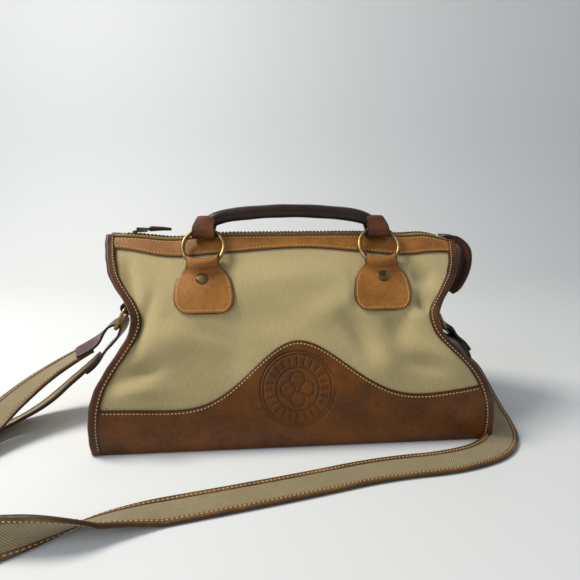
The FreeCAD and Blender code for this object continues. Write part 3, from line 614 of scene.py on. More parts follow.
for face, word in SIDES:
    for side, end in ((-1, "left"), (1, "right")):
        def gusset_at(a, b, face=face, side=side):
            z = 2.6 + b * (END_TOP - 2.6)
            reach = inner_y(z)
            y = reach * a
            middle = 1 - abs(2 * a - 1)
            tuck = 5.0 * math.sin(math.pi * a) ** 2 * min(z / 40, 1) * (1 - 0.4 * b)
            ripple = 1.1 * math.sin(z * 0.13 + 3 * a) * middle * min(z / 30, 1)
            x = edge_at(side, z, 1.2 + tuck + ripple)
            drop = ridge_drop(side * 140, z) * a
            return Vector((x, face * y, z - drop)) * MM, (y * MM, z * MM), 0.0
        flip = (side * face) < 0
        cloth = sheet_of(f"gusset_{end}_{word}_half", 24, 60, gusset_at, flip=flip)
        thicken(cloth, 1.2)
        finish_with(cloth, khaki_canvas)
        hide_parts("gusset_" + end)
        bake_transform(cloth)


# ---- bottom ---------------------------------------------------------------------------------
# One thick leather panel with rounded corners; a stiff board lies on it inside.
def box_of(name, low, high, corner=0.0, round_edges=0.6):
    """A block between two corners in mm, its upright corners and then all its edges rounded."""
    bpy.ops.object.select_all(action="DESELECT")
    low, high = Vector(low) * MM, Vector(high) * MM
    bpy.ops.mesh.primitive_cube_add(size=1, location=(low + high) / 2, scale=high - low)
    piece = bpy.context.object
    piece.name = piece.data.name = name
    bpy.ops.object.transform_apply(location=True, rotation=True, scale=True)
    bpy.ops.object.mode_set(mode="EDIT")
    if corner:
        bpy.ops.mesh.select_mode(type="EDGE")
        bpy.ops.mesh.select_all(action="DESELECT")
        bpy.ops.object.mode_set(mode="OBJECT")
        for edge in piece.data.edges:
            a, b = (piece.data.vertices[v].co for v in edge.vertices)
            edge.select = abs(a.x - b.x) < 1e-6 and abs(a.y - b.y) < 1e-6
        bpy.ops.object.mode_set(mode="EDIT")
        bpy.ops.mesh.bevel(offset=corner * MM, segments=8, affect="EDGES")
    bpy.ops.mesh.select_all(action="SELECT")
    bpy.ops.object.mode_set(mode="OBJECT")
    bevel = piece.modifiers.new("Edges", "BEVEL")
    bevel.width, bevel.segments, bevel.angle_limit = round_edges * MM, 3, math.radians(40)
    bpy.ops.object.modifier_apply(modifier=bevel.name)
    bpy.ops.object.shade_smooth_by_angle(angle=math.radians(40))
    return piece


low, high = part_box("bottom_panel")
bottom = box_of("bottom_leather", low / MM, high / MM, corner=14.0, round_edges=0.9)
finish_with(bottom, apron_leather)
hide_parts("bottom_panel")
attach(bottom, "base")


def fibre_board(name, light, dark):
    """Grey pressed fibre board, with flecks a few millimetres long."""
    material, tree, shader = new_material(name)
    place = add_node(tree, "ShaderNodeTexCoord").outputs["Object"]
    fleck = add_node(tree, "ShaderNodeTexNoise", {"Vector": place, "Scale": 1 / 0.002, "Detail": 3.0})
    tree.links.new(mix(tree, fleck.outputs[0], colour(dark), colour(light)),
                   shader.inputs["Base Color"])
    shader.inputs["Roughness"].default_value = 0.85
    return material


finish_with(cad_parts["base_board"], fibre_board("grey_fibre_board", "#8d857a", "#625a50"))


# ---- handle patches -------------------------------------------------------------------------
# Saddle leather tongues, sewn to the canvas, that fold over the bottom of each ring and
# are held by one rivet under the fold.
def brass(name, light, dark, rough=0.34):
    """Solid brass, cast and tumbled, with years of tarnish in blotches a few millimetres wide."""
    material, tree, shader = new_material(name)
    place = add_node(tree, "ShaderNodeTexCoord").outputs["Object"]
    tarnish = add_node(tree, "ShaderNodeTexNoise",
                       {"Vector": place, "Scale": 1 / 0.004, "Detail": 4.0})
    patchy = add_node(tree, "ShaderNodeMapRange",
                      {"Value": tarnish.outputs[0], "From Min": 0.35, "From Max": 0.65})
    tree.links.new(mix(tree, patchy.outputs[0], colour(dark), colour(light)),
                   shader.inputs["Base Color"])
    gloss = add_node(tree, "ShaderNodeMapRange",
                     {"Value": tarnish.outputs[0], "From Min": 0.3, "From Max": 0.7,
                      "To Min": rough + 0.12, "To Max": rough - 0.08})
    tree.links.new(gloss.outputs[0], shader.inputs["Roughness"])
    shader.inputs["Metallic"].default_value = 1.0
    return material


old_brass = brass("antique_brass", "#a8905c", "#6f5a33", rough=0.4)
dark_brass = brass("darkened_brass", "#7d6841", "#4a3a1f", rough=0.5)
FOLD_D = SIDE_TOP - 30.7
# distance below the fold and height off the canvas, along the tongue's outer face, and
# half its width there
TONGUE = [
    (-41.5, 3.1, 8.0), (-40.9, 3.25, 14.5), (-38.5, 3.3, 19.5), (-34.5, 3.3, 22.6),
    (-29.0, 3.3, 23.8), (-22.0, 3.3, 23.4), (-15.0, 3.3, 22.4), (-10.0, 3.4, 20.6),
    (-7.0, 3.7, 17.8), (-5.6, 4.8, 15.2), (-4.9, 6.4, 14.0), (-4.4, 8.4, 13.5),
    (-2.6, 10.4, 12.8), (0.0, 11.0, 12.8), (2.6, 10.2, 12.8), (4.2, 8.2, 12.8),
    (4.6, 6.0, 12.8), (3.6, 3.9, 12.8), (1.4, 2.7, 12.8), (-1.5, 2.3, 12.8)]
RING_R = 16.7


def tongue_at(step):
    i = min(int(step), len(TONGUE) - 2)
    part = step - i
    return [p + (q - p) * part for p, q in zip(TONGUE[i], TONGUE[i + 1])]


for face, word in SIDES:
    rows, stitches = len(TONGUE) * 3, []
    for side, end in ((-1, "left"), (1, "right")):
        centre = side * PATCH_X

        def patch_at(a, b, face=face, centre=centre):
            t, off, half = tongue_at(b * (len(TONGUE) - 1))
            u = (2 * a - 1) * half
            rise = 0.0
            if t > -9:
                rise = (RING_R - math.sqrt(RING_R ** 2 - min(abs(u), 13) ** 2)) * min((t + 9) / 8, 1)
            edge = edge_fade(half - abs(u), 1.8) if b < 0.75 else 0.5
            low_edge = edge_fade(t + 41.5, 1.8)
            crown = 0.35 * (1 - (u / 24) ** 2) - 0.5 * max(edge, low_edge) ** 2
            lean = side * 0.05 * t
            return (skin(centre + u + lean, FOLD_D + t + 0.75 * rise, off + crown, face),
                    (u * MM, t * MM), min(1.0, 1.3 * max(edge, low_edge)))
        tongue = sheet_of(f"{word}_patch_leather_{end}", 34, rows, patch_at, flip=face > 0)
        thicken(tongue, 1.7)
        finish_with(tongue, band_leather)
        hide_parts(f"{word}_patch_{end}")
        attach(tongue, word + "_side")
        outline = []
        for i in range(160):
            b = i / 159
            step = b * 8.4
            t, off, half = tongue_at(8.4 - step)
            outline.append((-(half - 2.6), t))
        turned = [(u, max(t, -38.8)) for u, t in outline if t > -38.8]
        foot = [(u, -38.8) for u in np.linspace(turned[-1][0], -turned[-1][0], 40)]
        around = turned + foot + [(-u, t) for u, t in reversed(turned)]
        stitches.append(on_skin([(centre + u + side * 0.05 * t, FOLD_D + t) for u, t in around],
                                3.45, face))
    sew(word + "_patch_stitching", stitches, word + "_side", pitch=2.3, length=1.5)


# ---- rivets ---------------------------------------------------------------------------------
# Turned brass rivets with a flat, slightly domed head and a thin rim, set by hand.
def turned_piece(name, outline, foot, axis, material, around=28):
    """A turned shape: outline of (radius, height) in mm, about an axis from its foot."""
    axis = Vector(axis).normalized()
    first = axis.orthogonal().normalized()
    second = axis.cross(first)

    def at(a, b):
        i = min(int(b * (len(outline) - 1)), len(outline) - 2)
        part = b * (len(outline) - 1) - i
        r, h = (p + (q - p) * part for p, q in zip(outline[i], outline[i + 1]))
        turn = a * 2 * math.pi
        point = foot + (first * (r * math.cos(turn)) + second * (r * math.sin(turn))
                        + axis * h) * MM
        return point, (turn * r * MM, h * MM), 0.0
    piece = sheet_of(name, around, (len(outline) - 1) * 2, at)
    close_up(piece)
    return finish_with(piece, material)


RIVET_HEAD = [(0, 1.15), (1.8, 1.12), (3.2, 1.0), (3.9, 0.8), (4.3, 1.15), (4.8, 0.95),
              (5.0, 0.4), (4.8, 0.0), (0, 0)]
for face, word in SIDES:
    for side, end in ((-1, "left"), (1, "right")):
        base_point = skin(side * (PATCH_X + 0.5), FOLD_D - 11.9, 3.3, face)
        outwards = skin(side * (PATCH_X + 0.5), FOLD_D - 11.9, 6.3, face) - base_point
        head = turned_piece(f"{word}_rivet_head_{end}", RIVET_HEAD, base_point, outwards, dark_brass)
        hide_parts(word + "_rivets")
        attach(head, word + "_side")
        inside = skin(side * PATCH_X, FOLD_D - 10, -0.8, face)
        cap = turned_piece(f"{word}_rivet_cap_{end}", [(r, 0.7 * h) for r, h in RIVET_HEAD],
                           inside, -outwards, dark_brass)
        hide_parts(word + "_rivet_caps")
        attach(cap, word + "_side")


# ---- rings ----------------------------------------------------------------------------------
# Cast brass rings, 37 mm outside and 3.4 mm thick, that join the handles to the patches.
for node_name in ("front_ring_left", "front_ring_right", "back_ring_left", "back_ring_right"):
    finish_with(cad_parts[node_name], old_brass)


# ---- handles --------------------------------------------------------------------------------
# Leather rolled round a cord and sewn underneath, dark from handling, with a folded leather
# end round each ring. The front handle stands up; the back one hangs down behind.
handle_leather = leather("handle_leather_worn", "#31221a", "#160d0a", "#0e0705", shine=0.32)
end_leather = leather("handle_end_leather", "#744524", "#422310", "#1f0e06", shine=0.36)
FOLD = Vector((0, -32.406, 139.960))
RING_LEAN, HANDLE_LEAN = math.radians(36), math.radians(25)
RING_UP = Vector((0, math.sin(RING_LEAN), math.cos(RING_LEAN)))
RING_BACK = Vector((0, RING_UP.z, -RING_UP.y))
RING_TOP = FOLD + RING_UP * (2 * RING_R)
HANDLE_UP = Vector((0, math.sin(HANDLE_LEAN), math.cos(HANDLE_LEAN)))
HANDLE_BACK = Vector((0, HANDLE_UP.z, -HANDLE_UP.y))
BACK_DROP = math.radians(166)
ROLL_R = 5.6


def hang(point, face):
    """Where a point of the front handle, in mm, lies on this face of the bag."""
    if face < 0:
        return point * MM
    turned = Matrix.Rotation(BACK_DROP, 3, "X") @ (point - FOLD) + FOLD
    return Vector((turned.x, -turned.y, turned.z)) * MM


# half of the grip's line: along the bag and up from the rings
GRIP, GRIP_LENGTH = smooth_line([
    (-72.6, -2.6), (-67.6, 2.6), (-60.0, 6.2), (-49.0, 8.6), (-34.0, 10.2), (-17.0, 11.4),
    (0.0, 11.8), (17.0, 11.4), (34.0, 10.2), (49.0, 8.6), (60.0, 6.2), (67.6, 2.6), (72.6, -2.6)])
GRIP_FOOT = RING_TOP + RING_UP * 4.6


def grip_point(s):
    x = float(np.interp(s, GRIP_LENGTH, GRIP[:, 0]))
    w = float(np.interp(s, GRIP_LENGTH, GRIP[:, 1]))
    return Vector((x, GRIP_FOOT.y, GRIP_FOOT.z)) + HANDLE_UP * w


for face, word in SIDES:
    def grip_at(a, b, face=face):
        s = b * GRIP_LENGTH[-1]
        centre = grip_point(s)
        along = (grip_point(min(s + 1, GRIP_LENGTH[-1])) - grip_point(max(s - 1, 0))).normalized()
        up = HANDLE_BACK.cross(along).normalized()
        turn = 2 * math.pi * a - math.pi / 2
        seam = math.exp(-((a - 0.5 * round(2 * a)) / 0.03) ** 2) if a < 0.25 or a > 0.75 else 0.0
        ends = min(min(s, GRIP_LENGTH[-1] - s) / 16, 1)
        r = ROLL_R * (0.86 + 0.14 * ends) + 0.7 * seam + 0.12 * math.sin(s * 0.21)
        point = centre + up * (r * math.sin(turn)) + HANDLE_BACK * (r * math.cos(turn))
        return hang(point, face), (a * 35 * MM, s * MM), 0.7 * seam
    grip = sheet_of(word + "_handle_roll", 30, 110, grip_at)
    close_up(grip)
    finish_with(grip, handle_leather)
    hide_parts(word + "_handle_cover", word + "_handle_core")
    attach(grip, word + "_handle")
    under = []
    for s in np.linspace(16, GRIP_LENGTH[-1] - 16, 160):
        centre = grip_point(s)
        along = (grip_point(s + 1) - grip_point(s - 1)).normalized()
        down = -HANDLE_BACK.cross(along).normalized()
        low, lower = centre + down * (ROLL_R + 0.5) + HANDLE_BACK * 1.6, centre + down * (ROLL_R + 1.5)
        line_at, out_at = hang(low, face), hang(lower, face)
        under.append((line_at, (out_at - line_at).normalized()))
    sew(word + "_handle_stitching", [under], word + "_handle", pitch=3.2)

LOOP_LOW, LOOP_HIGH, LOOP_R = -3.0, 6.5, 5.4
for face, word in SIDES:
    for side, end in ((-1, "left"), (1, "right")):
        def loop_at(a, b, face=face, side=side):
            straight, arc = LOOP_HIGH - LOOP_LOW, math.pi * LOOP_R
            s = a * 2 * (straight + arc)
            if s < straight:
                w, v = LOOP_LOW + s, -LOOP_R
            elif s < straight + arc:
                turn = (s - straight) / LOOP_R
                w, v = LOOP_HIGH + LOOP_R * math.sin(turn), -LOOP_R * math.cos(turn)
            elif s < 2 * straight + arc:
                w, v = LOOP_HIGH - (s - straight - arc), LOOP_R
            else:
                turn = (s - 2 * straight - arc) / LOOP_R
                w, v = LOOP_LOW - LOOP_R * math.sin(turn), LOOP_R * math.cos(turn)
            share = min(max((w + 4) / 14, 0), 1)
            half = 9.3 - 1.8 * share
            u = 2 * b - 1
            lean = -side * 0.30 * max(w, 0)
            crown = 1 + 0.10 * (1 - u * u)
            back = v * crown * (1 + 0.12 * share)
            point = (RING_TOP + RING_UP * w + RING_BACK * back
                     + Vector((side * PATCH_X + u * half + lean, 0, 0)))
            return hang(point, face), (s * MM, b * 18 * MM), edge_fade(1 - abs(u), 0.16)
        loop = sheet_of(f"{word}_handle_end_{end}", 44, 12, loop_at)
        bpy.ops.object.mode_set(mode="EDIT")
        bpy.ops.mesh.select_all(action="SELECT")
        bpy.ops.mesh.remove_doubles(threshold=1e-6)
        bpy.ops.mesh.normals_make_consistent(inside=False)
        bpy.ops.object.mode_set(mode="OBJECT")
        middle = sum((v.co for v in loop.data.vertices), Vector()) / len(loop.data.vertices)
        polygon = loop.data.polygons[0]
        if polygon.normal.dot(polygon.center - middle) < 0:
            bpy.ops.object.mode_set(mode="EDIT")
            bpy.ops.mesh.flip_normals()
            bpy.ops.object.mode_set(mode="OBJECT")
        thicken(loop, 1.7)
        finish_with(loop, end_leather)
        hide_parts(word + "_handle_ends")
        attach(loop, word + "_handle")


# ---- zip ------------------------------------------------------------------------------------
# A cotton tape along each top edge with brass teeth clamped to it, a brass slider, a wire
# link and a small leather pull.
zip_cotton = plain_cotton("zip_tape_cotton", "#97814f", "#5b4a2a")
TAPE_Z, TAPE_LEFT, TAPE_RIGHT = 161.92, -151.0, 142.0
for face, word in SIDES:
    def tape_at(a, b, face=face):
        x = TAPE_LEFT + (TAPE_RIGHT - TAPE_LEFT) * a
        y = 9.4 - 8.0 * b
        z = TAPE_Z + 0.8 - ridge_drop(x, 160) - 0.7 * (1 - b) ** 2
        return Vector((x, face * y, z)) * MM, (x * MM, y * MM), 0.0
    tape = sheet_of(word + "_zip_tape_cotton", 140, 6, tape_at, flip=face > 0)
    thicken(tape, 0.7)
    finish_with(tape, zip_cotton)
    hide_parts(word + "_zip_tape")
    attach(tape, word + "_side")
    tooth = box_of("one_tooth", (-0.85, -3.4, -1.3), (0.85, -1.0, 1.3), round_edges=0.35)
    shape = [v.co.copy() for v in tooth.data.vertices]
    sides_of = [list(p.vertices) for p in tooth.data.polygons]
    bpy.data.objects.remove(tooth)
    points, faces = [], []
    x = TAPE_LEFT + 12
    while x < TAPE_RIGHT - 11:
        first, z = len(points), TAPE_Z + 0.4 - ridge_drop(x, 160)
        for p in shape:
            points.append(Vector((x * MM + p.x, -face * p.y, z * MM + p.z)))
        faces += [[first + v for v in poly] for poly in sides_of]
        x += 3.2
    mesh = bpy.data.meshes.new(word + "_zip_teeth_brass")
    mesh.from_pydata(points, [], faces)
    teeth = bpy.data.objects.new(mesh.name, mesh)
    bpy.context.scene.collection.objects.link(teeth)
    close_up(teeth)
    finish_with(teeth, dark_brass)
    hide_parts(word + "_zip_teeth")
    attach(teeth, word + "_side")
    stitched = []
    for t in np.linspace(0.01, 0.99, 200):
        x = TAPE_LEFT + (TAPE_RIGHT - TAPE_LEFT) * t
        stitched.append((Vector((x, face * 7.2, TAPE_Z + 0.85 - ridge_drop(x, 160))) * MM,
                         Vector((0, 0, 1))))
    sew(word + "_zip_tape_stitching", [stitched], word + "_side")

end_z = TAPE_Z + 0.4 - ridge_drop(136, 160)
stop = box_of("zip_end_stop", (134.0, -3.4, end_z - 1.3), (137.6, 0.6, end_z + 1.5), round_edges=0.5)
finish_with(stop, dark_brass)
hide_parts("zip_stop")
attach(stop, "front_side")
for node_name in ("zip_slider", "zip_link"):
    finish_with(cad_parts[node_name], dark_brass)

PULL_X, PULL_Z = -121.6, 166.52


def pull_at(a, b):
    turn = a * 2 * math.pi
    s = b * 19.0
    half = 3.4 - 1.0 * b if b < 0.9 else 3.4 - 1.0 * b - 10 * (b - 0.9)
    thick = (2.4 - 1.2 * b) * min(1.0, 0.4 + 6 * b)
    y = half * math.copysign(abs(math.cos(turn)) ** 0.5, math.cos(turn))
    z = thick * math.copysign(abs(math.sin(turn)) ** 0.6, math.sin(turn)) - 1.3 * b * b + 0.9 * b
    return (Vector((PULL_X + s, y, PULL_Z + z)) * MM, (a * 0.02, s * MM),
            edge_fade(half - abs(y), 0.9))


pull = close_up(sheet_of("zip_pull_leather", 24, 24, pull_at))
finish_with(pull, end_leather)
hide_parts("zip_pull")
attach(pull, "zip_pull")


# ---- zip end tab ----------------------------------------------------------------------------
# A thick tongue of dark leather sewn over the zip's closed end, hanging down outside.
tab_leather = leather("burgundy_tab_leather", "#5a3228", "#2e1612", "#150907", shine=0.34)
TAB_LINE, TAB_LENGTH = smooth_line([
    (136.5, 157.9), (143.0, 156.9), (149.4, 154.6), (154.8, 149.6), (157.8, 140.5), (157.4, 129.5),
    (153.6, 118.6), (148.6, 110.6), (146.4, 108.0)])


def end_tab_at(a, b):
    s = b * TAB_LENGTH[-1]
    x, z = (float(np.interp(s, TAB_LENGTH, TAB_LINE[:, k])) for k in (0, 1))
    ax, az = (float(np.interp(s + 1, TAB_LENGTH, TAB_LINE[:, k])) - float(
        np.interp(s - 1, TAB_LENGTH, TAB_LINE[:, k])) for k in (0, 1))
    size = math.hypot(ax, az)
    nx, nz = -az / size, ax / size
    turn = a * 2 * math.pi
    half = 7.5 + 5.5 * min(max((s - 12) / 14, 0), 1) - 4.0 * edge_fade(TAB_LENGTH[-1] - s, 9)
    thick = (2.5 + 0.6 * math.sin(math.pi * b)) * min(1.0, 0.3 + s / 16)
    u = math.copysign(abs(math.cos(turn)) ** 0.35, math.cos(turn))
    v = math.copysign(abs(math.sin(turn)) ** 0.6, math.sin(turn))
    bow = 1.6 * u * u
    return (Vector((x + nx * (v * thick + bow), u * half, z + nz * (v * thick + bow))) * MM,
            (a * 0.06, s * MM), 0.6 * edge_fade(1 - abs(u), 0.12))


end_tab = close_up(sheet_of("zip_end_tab_leather", 40, 60, end_tab_at))
finish_with(end_tab, tab_leather)
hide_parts("zip_end_tab")
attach(end_tab, "base")
tab_rows = []
for side in (-1, 1):
    row = []
    for b in np.linspace(0.30, 0.95, 90):
        s = b * TAB_LENGTH[-1]
        half = 7.5 + 5.5 * min(max((s - 12) / 14, 0), 1) - 4.0 * edge_fade(TAB_LENGTH[-1] - s, 9)
        x, z = (float(np.interp(s, TAB_LENGTH, TAB_LINE[:, k])) for k in (0, 1))
        ax, az = (float(np.interp(s + 1, TAB_LENGTH, TAB_LINE[:, k])) - float(
            np.interp(s - 1, TAB_LENGTH, TAB_LINE[:, k])) for k in (0, 1))
        normal = Vector((-az, 0, ax)).normalized()
        row.append((Vector((x, side * (half - 2.4), z)) * MM + normal * (4.35 * MM), normal))
    tab_rows.append(row)
sew("zip_end_tab_stitching", tab_rows, "base", pitch=2.6)


# ---- strap tabs on the ends -----------------------------------------------------------------
# A doubled leather strip round each strap ring, its foot riveted through the gusset.
def strip_of(name, line, half, thick, material):
    """A leather strip 2 x half wide along Y that follows a line in the XZ plane."""
    path, length = smooth_line(line)

    def at(a, b):
        s = b * length[-1]
        x, z = (float(np.interp(s, length, path[:, k])) for k in (0, 1))
        u = 2 * a - 1
        ends = edge_fade(min(s, length[-1] - s), 3) * 1.6
        y = u * (half - ends)
        return Vector((x, y, z)) * MM, (u * half * MM, s * MM), edge_fade(1 - abs(u), 0.2)
    piece = thicken(sheet_of(name, 10, 70, at), thick)
    return finish_with(piece, material)


for side, end in ((-1, "left"), (1, "right")):
    fold_z = {-1: 99.0, 1: 92.0}[side]
    wall = edge_at(side, fold_z, 1.0)
    fold_x = wall + side * 17.0
    line = [(fold_x - side * 12.5, fold_z + 18.5), (fold_x - side * 11.8, fold_z + 10),
            (fold_x - side * 8, fold_z + 5.6), (fold_x - side * 1, fold_z + 5.1),
            (fold_x + side * 3.8, fold_z + 3.2), (fold_x + side * 5.0, fold_z - 0.6),
            (fold_x + side * 2.9, fold_z - 4.3), (fold_x - side * 2, fold_z - 5.0),
            (fold_x - side * 8, fold_z - 4.6), (fold_x - side * 15.0, fold_z - 5.2)]
    if side > 0:
        line.reverse()
    tab = strip_of("strap_tab_leather_" + end, line, 10.0, 2.0, tab_leather)
    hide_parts("strap_tab_" + end)
    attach(tab, "base")
    stud_low, stud_high = (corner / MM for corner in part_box("strap_tab_rivet_" + end))
    stud_x = stud_high.x if side > 0 else stud_low.x
    stud = turned_piece("strap_tab_rivet_head_" + end, RIVET_HEAD,
                        Vector((stud_x - side * 1.2, 0, (stud_low.z + stud_high.z) / 2)) * MM,
                        (side, 0, 0), old_brass)
    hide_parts("strap_tab_rivet_" + end)
    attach(stud, "base")
    finish_with(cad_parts["strap_ring_" + end], old_brass)


# ---- shoulder strap -------------------------------------------------------------------------
# Cotton webbing 25 mm wide with leather sewn along both edges. It lies loose on the floor
# in front of the bag, from the right ring round to the left one, with one half twist.
STRAP_W, STRAP_THICK = 25.0, 2.5
STRAP_ROUTE = [
    (163.0, 10.0, 56.0), (179.0, 13.0, 38.0), (186.0, 0.0, 16.0), (182.0, -40.0, 5.5),
    (166.0, -88.0, 5.0), (120.0, -106.0, 5.0), (60.0, -110.0, 5.0), (0.0, -124.0, 5.0),
    (-60.0, -136.0, 5.0), (-112.0, -146.0, 5.0), (-160.0, -168.0, 5.0),
    (-212.0, -174.0, 5.0), (-250.0, -140.0, 5.0), (-256.0, -92.0, 8.0),
    (-238.0, -46.0, 26.0), (-208.0, -14.0, 48.0), (-178.0, -2.0, 62.0)]
RETURN_ROUTE = [
    (-176.0, 3.0, 50.0), (-196.0, 0.0, 32.0), (-226.0, -18.0, 12.0),
    (-262.0, -48.0, 6.0), (-268.0, -92.0, 5.0)]


def route_line(name, points):
    """Close points along the smooth curve that a strap follows."""
    data = bpy.data.curves.new(name, "CURVE")
    data.dimensions = "3D"
    spline = data.splines.new("NURBS")
    spline.points.add(len(points) - 1)
    for target, point in zip(spline.points, points):
        target.co = (*(Vector(point) * MM), 1)
    spline.order_u = 3
    spline.use_endpoint_u = True
    spline.resolution_u = 16
    holder = bpy.data.objects.new(name, data)
    bpy.context.scene.collection.objects.link(holder)
    mesh = bpy.data.meshes.new_from_object(holder)
    line = np.array([v.co for v in mesh.vertices])
    bpy.data.objects.remove(holder)
    bpy.data.meshes.remove(mesh)
    return line


def rolls_along(line, turns):
    """How far the web is turned about its line at each of its points, from key turns."""
    far = np.r_[0, np.cumsum(np.linalg.norm(np.diff(line, axis=0), axis=1))]
    keys, values = zip(*turns)
    return far, np.interp(far, np.array(keys) * far[-1], np.radians(values))


def web_frames(line, turns):
    """Centre, across and up at each point of a strap that lies on its flat side."""
    far, rolls = rolls_along(line, turns)
    along = np.gradient(line, far, axis=0)
    frames = []
    for point, way, roll in zip(line, along, rolls):
        way = Vector(way).normalized()
        level = Vector((0, 0, 1)).cross(way)
        across = level.normalized() if level.length > 1e-3 else Vector((0, 1, 0))
        across = Matrix.Rotation(roll, 3, way) @ across
        up = way.cross(across).normalized()
        centre = Vector(point)
        reach = abs(across.z) * STRAP_W / 2 * MM + abs(up.z) * STRAP_THICK / 2 * MM
        low = max(0.0004, centre.z - 0.0037)
        near_floor = min(max((0.03 - centre.z) / 0.02, 0), 1)
        centre.z += (max(low, reach + 0.0004) - centre.z) * near_floor
        centre.z = max(centre.z, reach + 0.0003)
        frames.append((centre, across, up))
    return far, frames


WEB_SECTION = [(-11.6, 0.7), (-8, 0.85), (-4, 0.9), (0, 0.9), (4, 0.9), (8, 0.85), (11.6, 0.7),
               (11.6, -0.7), (8, -0.85), (4, -0.9), (0, -0.9), (-4, -0.9), (-8, -0.85), (-11.6, -0.7)]
EDGE_SECTION = [(8.2, 0.95), (8.4, 1.45), (10.5, 1.55), (12.1, 1.4), (12.5, 0.7), (12.5, -0.7),
                (12.1, -1.3), (10.5, -1.45), (8.4, -1.35), (8.2, -0.95), (10.4, -0.95),
                (11.7, -0.6), (11.7, 0.6), (10.4, 0.95)]


def along_web(name, section, far, frames, material, side=1, between=(0.0, 1.0)):
    """A closed section carried along the strap."""
    def at(a, b):
        turn = a * len(section)
        i, part = int(turn) % len(section), turn % 1
        (u0, v0), (u1, v1) = section[i], section[(i + 1) % len(section)]
        u, v = side * (u0 + (u1 - u0) * part), v0 + (v1 - v0) * part
        s = (between[0] + (between[1] - between[0]) * b) * far[-1]
        k = min(int(np.searchsorted(far, s)), len(far) - 1)
        j = max(k - 1, 0)
        share = 0 if k == j else (s - far[j]) / max(far[k] - far[j], 1e-9)
        c0, a0, u0_ = frames[j]
        c1, a1, u1_ = frames[k]
        centre, across = c0.lerp(c1, share), a0.lerp(a1, share).normalized()
        up = u0_.lerp(u1_, share).normalized()
        return (centre + across * (u * MM) + up * (v * MM), (u * MM, s),
                0.8 * edge_fade(abs(12.5 - abs(u)), 1.2))
    steps = int((between[1] - between[0]) * far[-1] / 0.0035)
    return finish_with(close_up(sheet_of(name, len(section), steps, at)), material)


web_cotton = twill("strap_cotton_webbing", "#b3a67c", "#6d6040", 1.0)
strap_leather = leather("strap_edge_leather", "#7c5a36", "#4b341d", "#291809", shine=0.44)
TWIST = [(0.0, 0), (0.06, -14), (0.14, -10), (0.22, 0), (0.53, 0), (0.58, 24), (0.64, 96),
         (0.70, 168), (0.75, 180), (0.88, 192), (0.95, 184), (1.0, 180)]
web_ends = {}
for name, points, turns, node_name in (
        ("shoulder_strap", STRAP_ROUTE, TWIST, "shoulder_strap"),
        ("strap_return", RETURN_ROUTE, [(0, 0), (0.5, 20), (1, 0)], "strap_return")):
    line = route_line(name + "_line", points)
    far, frames = web_frames(line, turns)
    web = along_web(name + "_web", WEB_SECTION, far, frames, web_cotton)
    for side, hand in ((-1, "a"), (1, "b")):
        trim = along_web(f"{name}_edge_{hand}", EDGE_SECTION, far, frames, strap_leather, side)
        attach(trim, "base")
    rows = []
    for side in (-1, 1):
        for face in (-1, 1):
            rows.append([(c + across * (side * 9.6 * MM) + up * (face * 1.52 * MM), up * face)
                         for c, across, up in frames[3:-3]])
    sew(name + "_stitching", rows, "base", pitch=3.0)
    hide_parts(node_name)
    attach(web, "base")
    web_ends[name] = (frames[0], frames[3]), (frames[-1], frames[-4])


# ---- strap ends -----------------------------------------------------------------------------
# Folded leather round each ring's lower bar, with a ply sewn over each end of the web. On the
# left the lower ply takes the end of the return web.
CHAPE_HALF = 12.9
CHAPE_THICK = 1.9
BARS = {"left": Vector((-153.108, 0, 81.341)), "right": Vector((142.043, 0, 74.341))}
PLIES = {"left": (web_ends["shoulder_strap"][1], web_ends["strap_return"][0]),
         "right": (web_ends["shoulder_strap"][0],) * 2}
for end, bar in BARS.items():
    knots = []
    for beyond, out, ply, place in (
            (14, 2.1, 0, "web"), (0, 2.1, 0, "web"), (-14, 2.5, 0, "free"), (1, 4.3, 0, "bar"),
            (-4.6, 0, 0, "bar"),
            (1, -4.3, 1, "bar"), (-14, -2.5, 1, "free"), (0, -2.1, 1, "web"), (14, -2.1, 1, "web")):
        (centre, across, _), (inner, _, _) = PLIES[end][ply]
        tip, into = centre / MM, (inner - centre).normalized()
        reach = (tip - bar).normalized()
        if across.y < 0:
            across = -across
        level = Vector((0, 1, 0))
        outward = reach.cross(level).normalized()
        if outward.z < 0:
            outward = -outward
        if place == "bar":
            spot, wide = bar + reach * beyond + outward * out, level
        elif place == "free":
            spot, wide = tip + reach * beyond + outward * out, (across + level).normalized()
        else:
            face = into.cross(across).normalized()
            if face.dot(outward) < 0:
                face = -face
            spot, wide = tip + into * beyond + face * out, across
        knots.append((*spot, *(wide * 10)))
    way, far = smooth_line(knots)

    def chape_at(a, b):
        s = b * far[-1]
        x, y, z, *wide = (float(np.interp(s, far, way[:, k])) for k in range(6))
        u = 2 * a - 1
        tip = edge_fade(min(s, far[-1] - s), 4) * 2.0
        place = Vector((x, y, z)) + Vector(wide).normalized() * (u * (CHAPE_HALF - tip))
        return place * MM, (u * CHAPE_HALF * MM, s * MM), edge_fade(1 - abs(u), 0.12)

    chape = thicken(sheet_of("strap_chape_leather_" + end, 12, 90, chape_at), CHAPE_THICK, 0)
    finish_with(chape, tab_leather)
    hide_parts("strap_chape_" + end)
    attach(chape, "base")
finish_with(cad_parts["strap_slide"], old_brass)


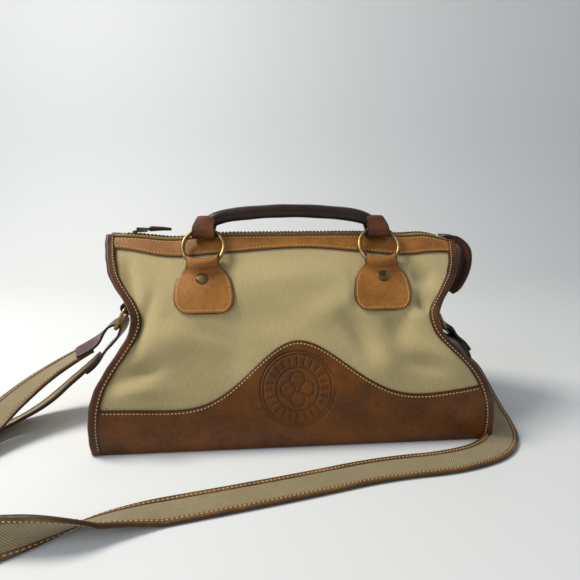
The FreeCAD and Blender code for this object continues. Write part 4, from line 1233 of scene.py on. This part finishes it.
# ---- studio ---------------------------------------------------------------------------------
# A pale board that curves up behind the bag, one large soft light above it and a weaker
# one at the left, as on a tabletop near a window.
def plain_paper(name, tone):
    """Matt painted board, with a trace of unevenness."""
    material, tree, shader = new_material(name)
    place = add_node(tree, "ShaderNodeTexCoord").outputs["Object"]
    cloud = add_node(tree, "ShaderNodeTexNoise", {"Vector": place, "Scale": 3.0, "Detail": 2.0})
    near = mix(tree, 0.03, colour(tone), colour("#ffffff"))
    tree.links.new(mix(tree, cloud.outputs[0], colour(tone), near), shader.inputs["Base Color"])
    shader.inputs["Roughness"].default_value = 0.8
    shader.inputs["Specular IOR Level"].default_value = 0.2
    return material


bpy.ops.object.select_all(action="DESELECT")
bpy.ops.mesh.primitive_grid_add(x_subdivisions=1, y_subdivisions=40, size=2)
board = bpy.context.object
board.name = "studio_floor"
for vertex in board.data.vertices:
    run = (vertex.co.y + 1) * 1.6 - 1.4
    curve_start, radius = 0.55, 0.35
    if run < curve_start:
        y, z = run, 0.0
    elif run < curve_start + radius * math.pi / 2:
        turn = (run - curve_start) / radius
        y, z = curve_start + radius * math.sin(turn), radius * (1 - math.cos(turn))
    else:
        y, z = curve_start + radius, radius + run - curve_start - radius * math.pi / 2
    vertex.co = Vector((vertex.co.x * 2.2, y, z))
bpy.ops.object.shade_smooth()
finish_with(board, plain_paper("studio_board", "#d2d5d6"))


def soft_light(name, place, aim, size, power, tone):
    light = bpy.data.lights.new(name, "AREA")
    light.shape, light.size, light.energy = "DISK", size, power
    light.color = colour(tone)[:3]
    lamp = bpy.data.objects.new(name, light)
    bpy.context.scene.collection.objects.link(lamp)
    lamp.location = place
    lamp.rotation_euler = (Vector(aim) - Vector(place)).to_track_quat("-Z", "Y").to_euler()


soft_light("overhead_softbox", (-0.75, 0.05, 1.15), (0, -0.05, 0.08), 0.5, 17.0, "#fff8ee")
soft_light("side_softbox", (-1.1, -0.7, 0.7), (0, 0, 0.08), 0.8, 6.0, "#eef3ff")
world = bpy.data.worlds.new("pale_room")
world.use_nodes = True
world.node_tree.nodes["Background"].inputs[0].default_value = colour("#dfe4e8")
world.node_tree.nodes["Background"].inputs[1].default_value = 0.55
bpy.context.scene.world = world
bpy.context.scene.view_settings.view_transform = "Standard"

camera = bpy.data.cameras.new("camera")
camera.lens, camera.sensor_width = 27.0, 36.0
eye = bpy.data.objects.new("camera", camera)
bpy.context.scene.collection.objects.link(eye)
eye.matrix_world = (Matrix.Translation(Vector((-29.8, -382.9, 200.6)) * MM)
                    @ Matrix.Rotation(math.radians(-4.4), 4, "Z")
                    @ Matrix.Rotation(math.radians(90 - 13.2), 4, "X"))
camera.clip_start = 0.02
bpy.context.scene.camera = eye
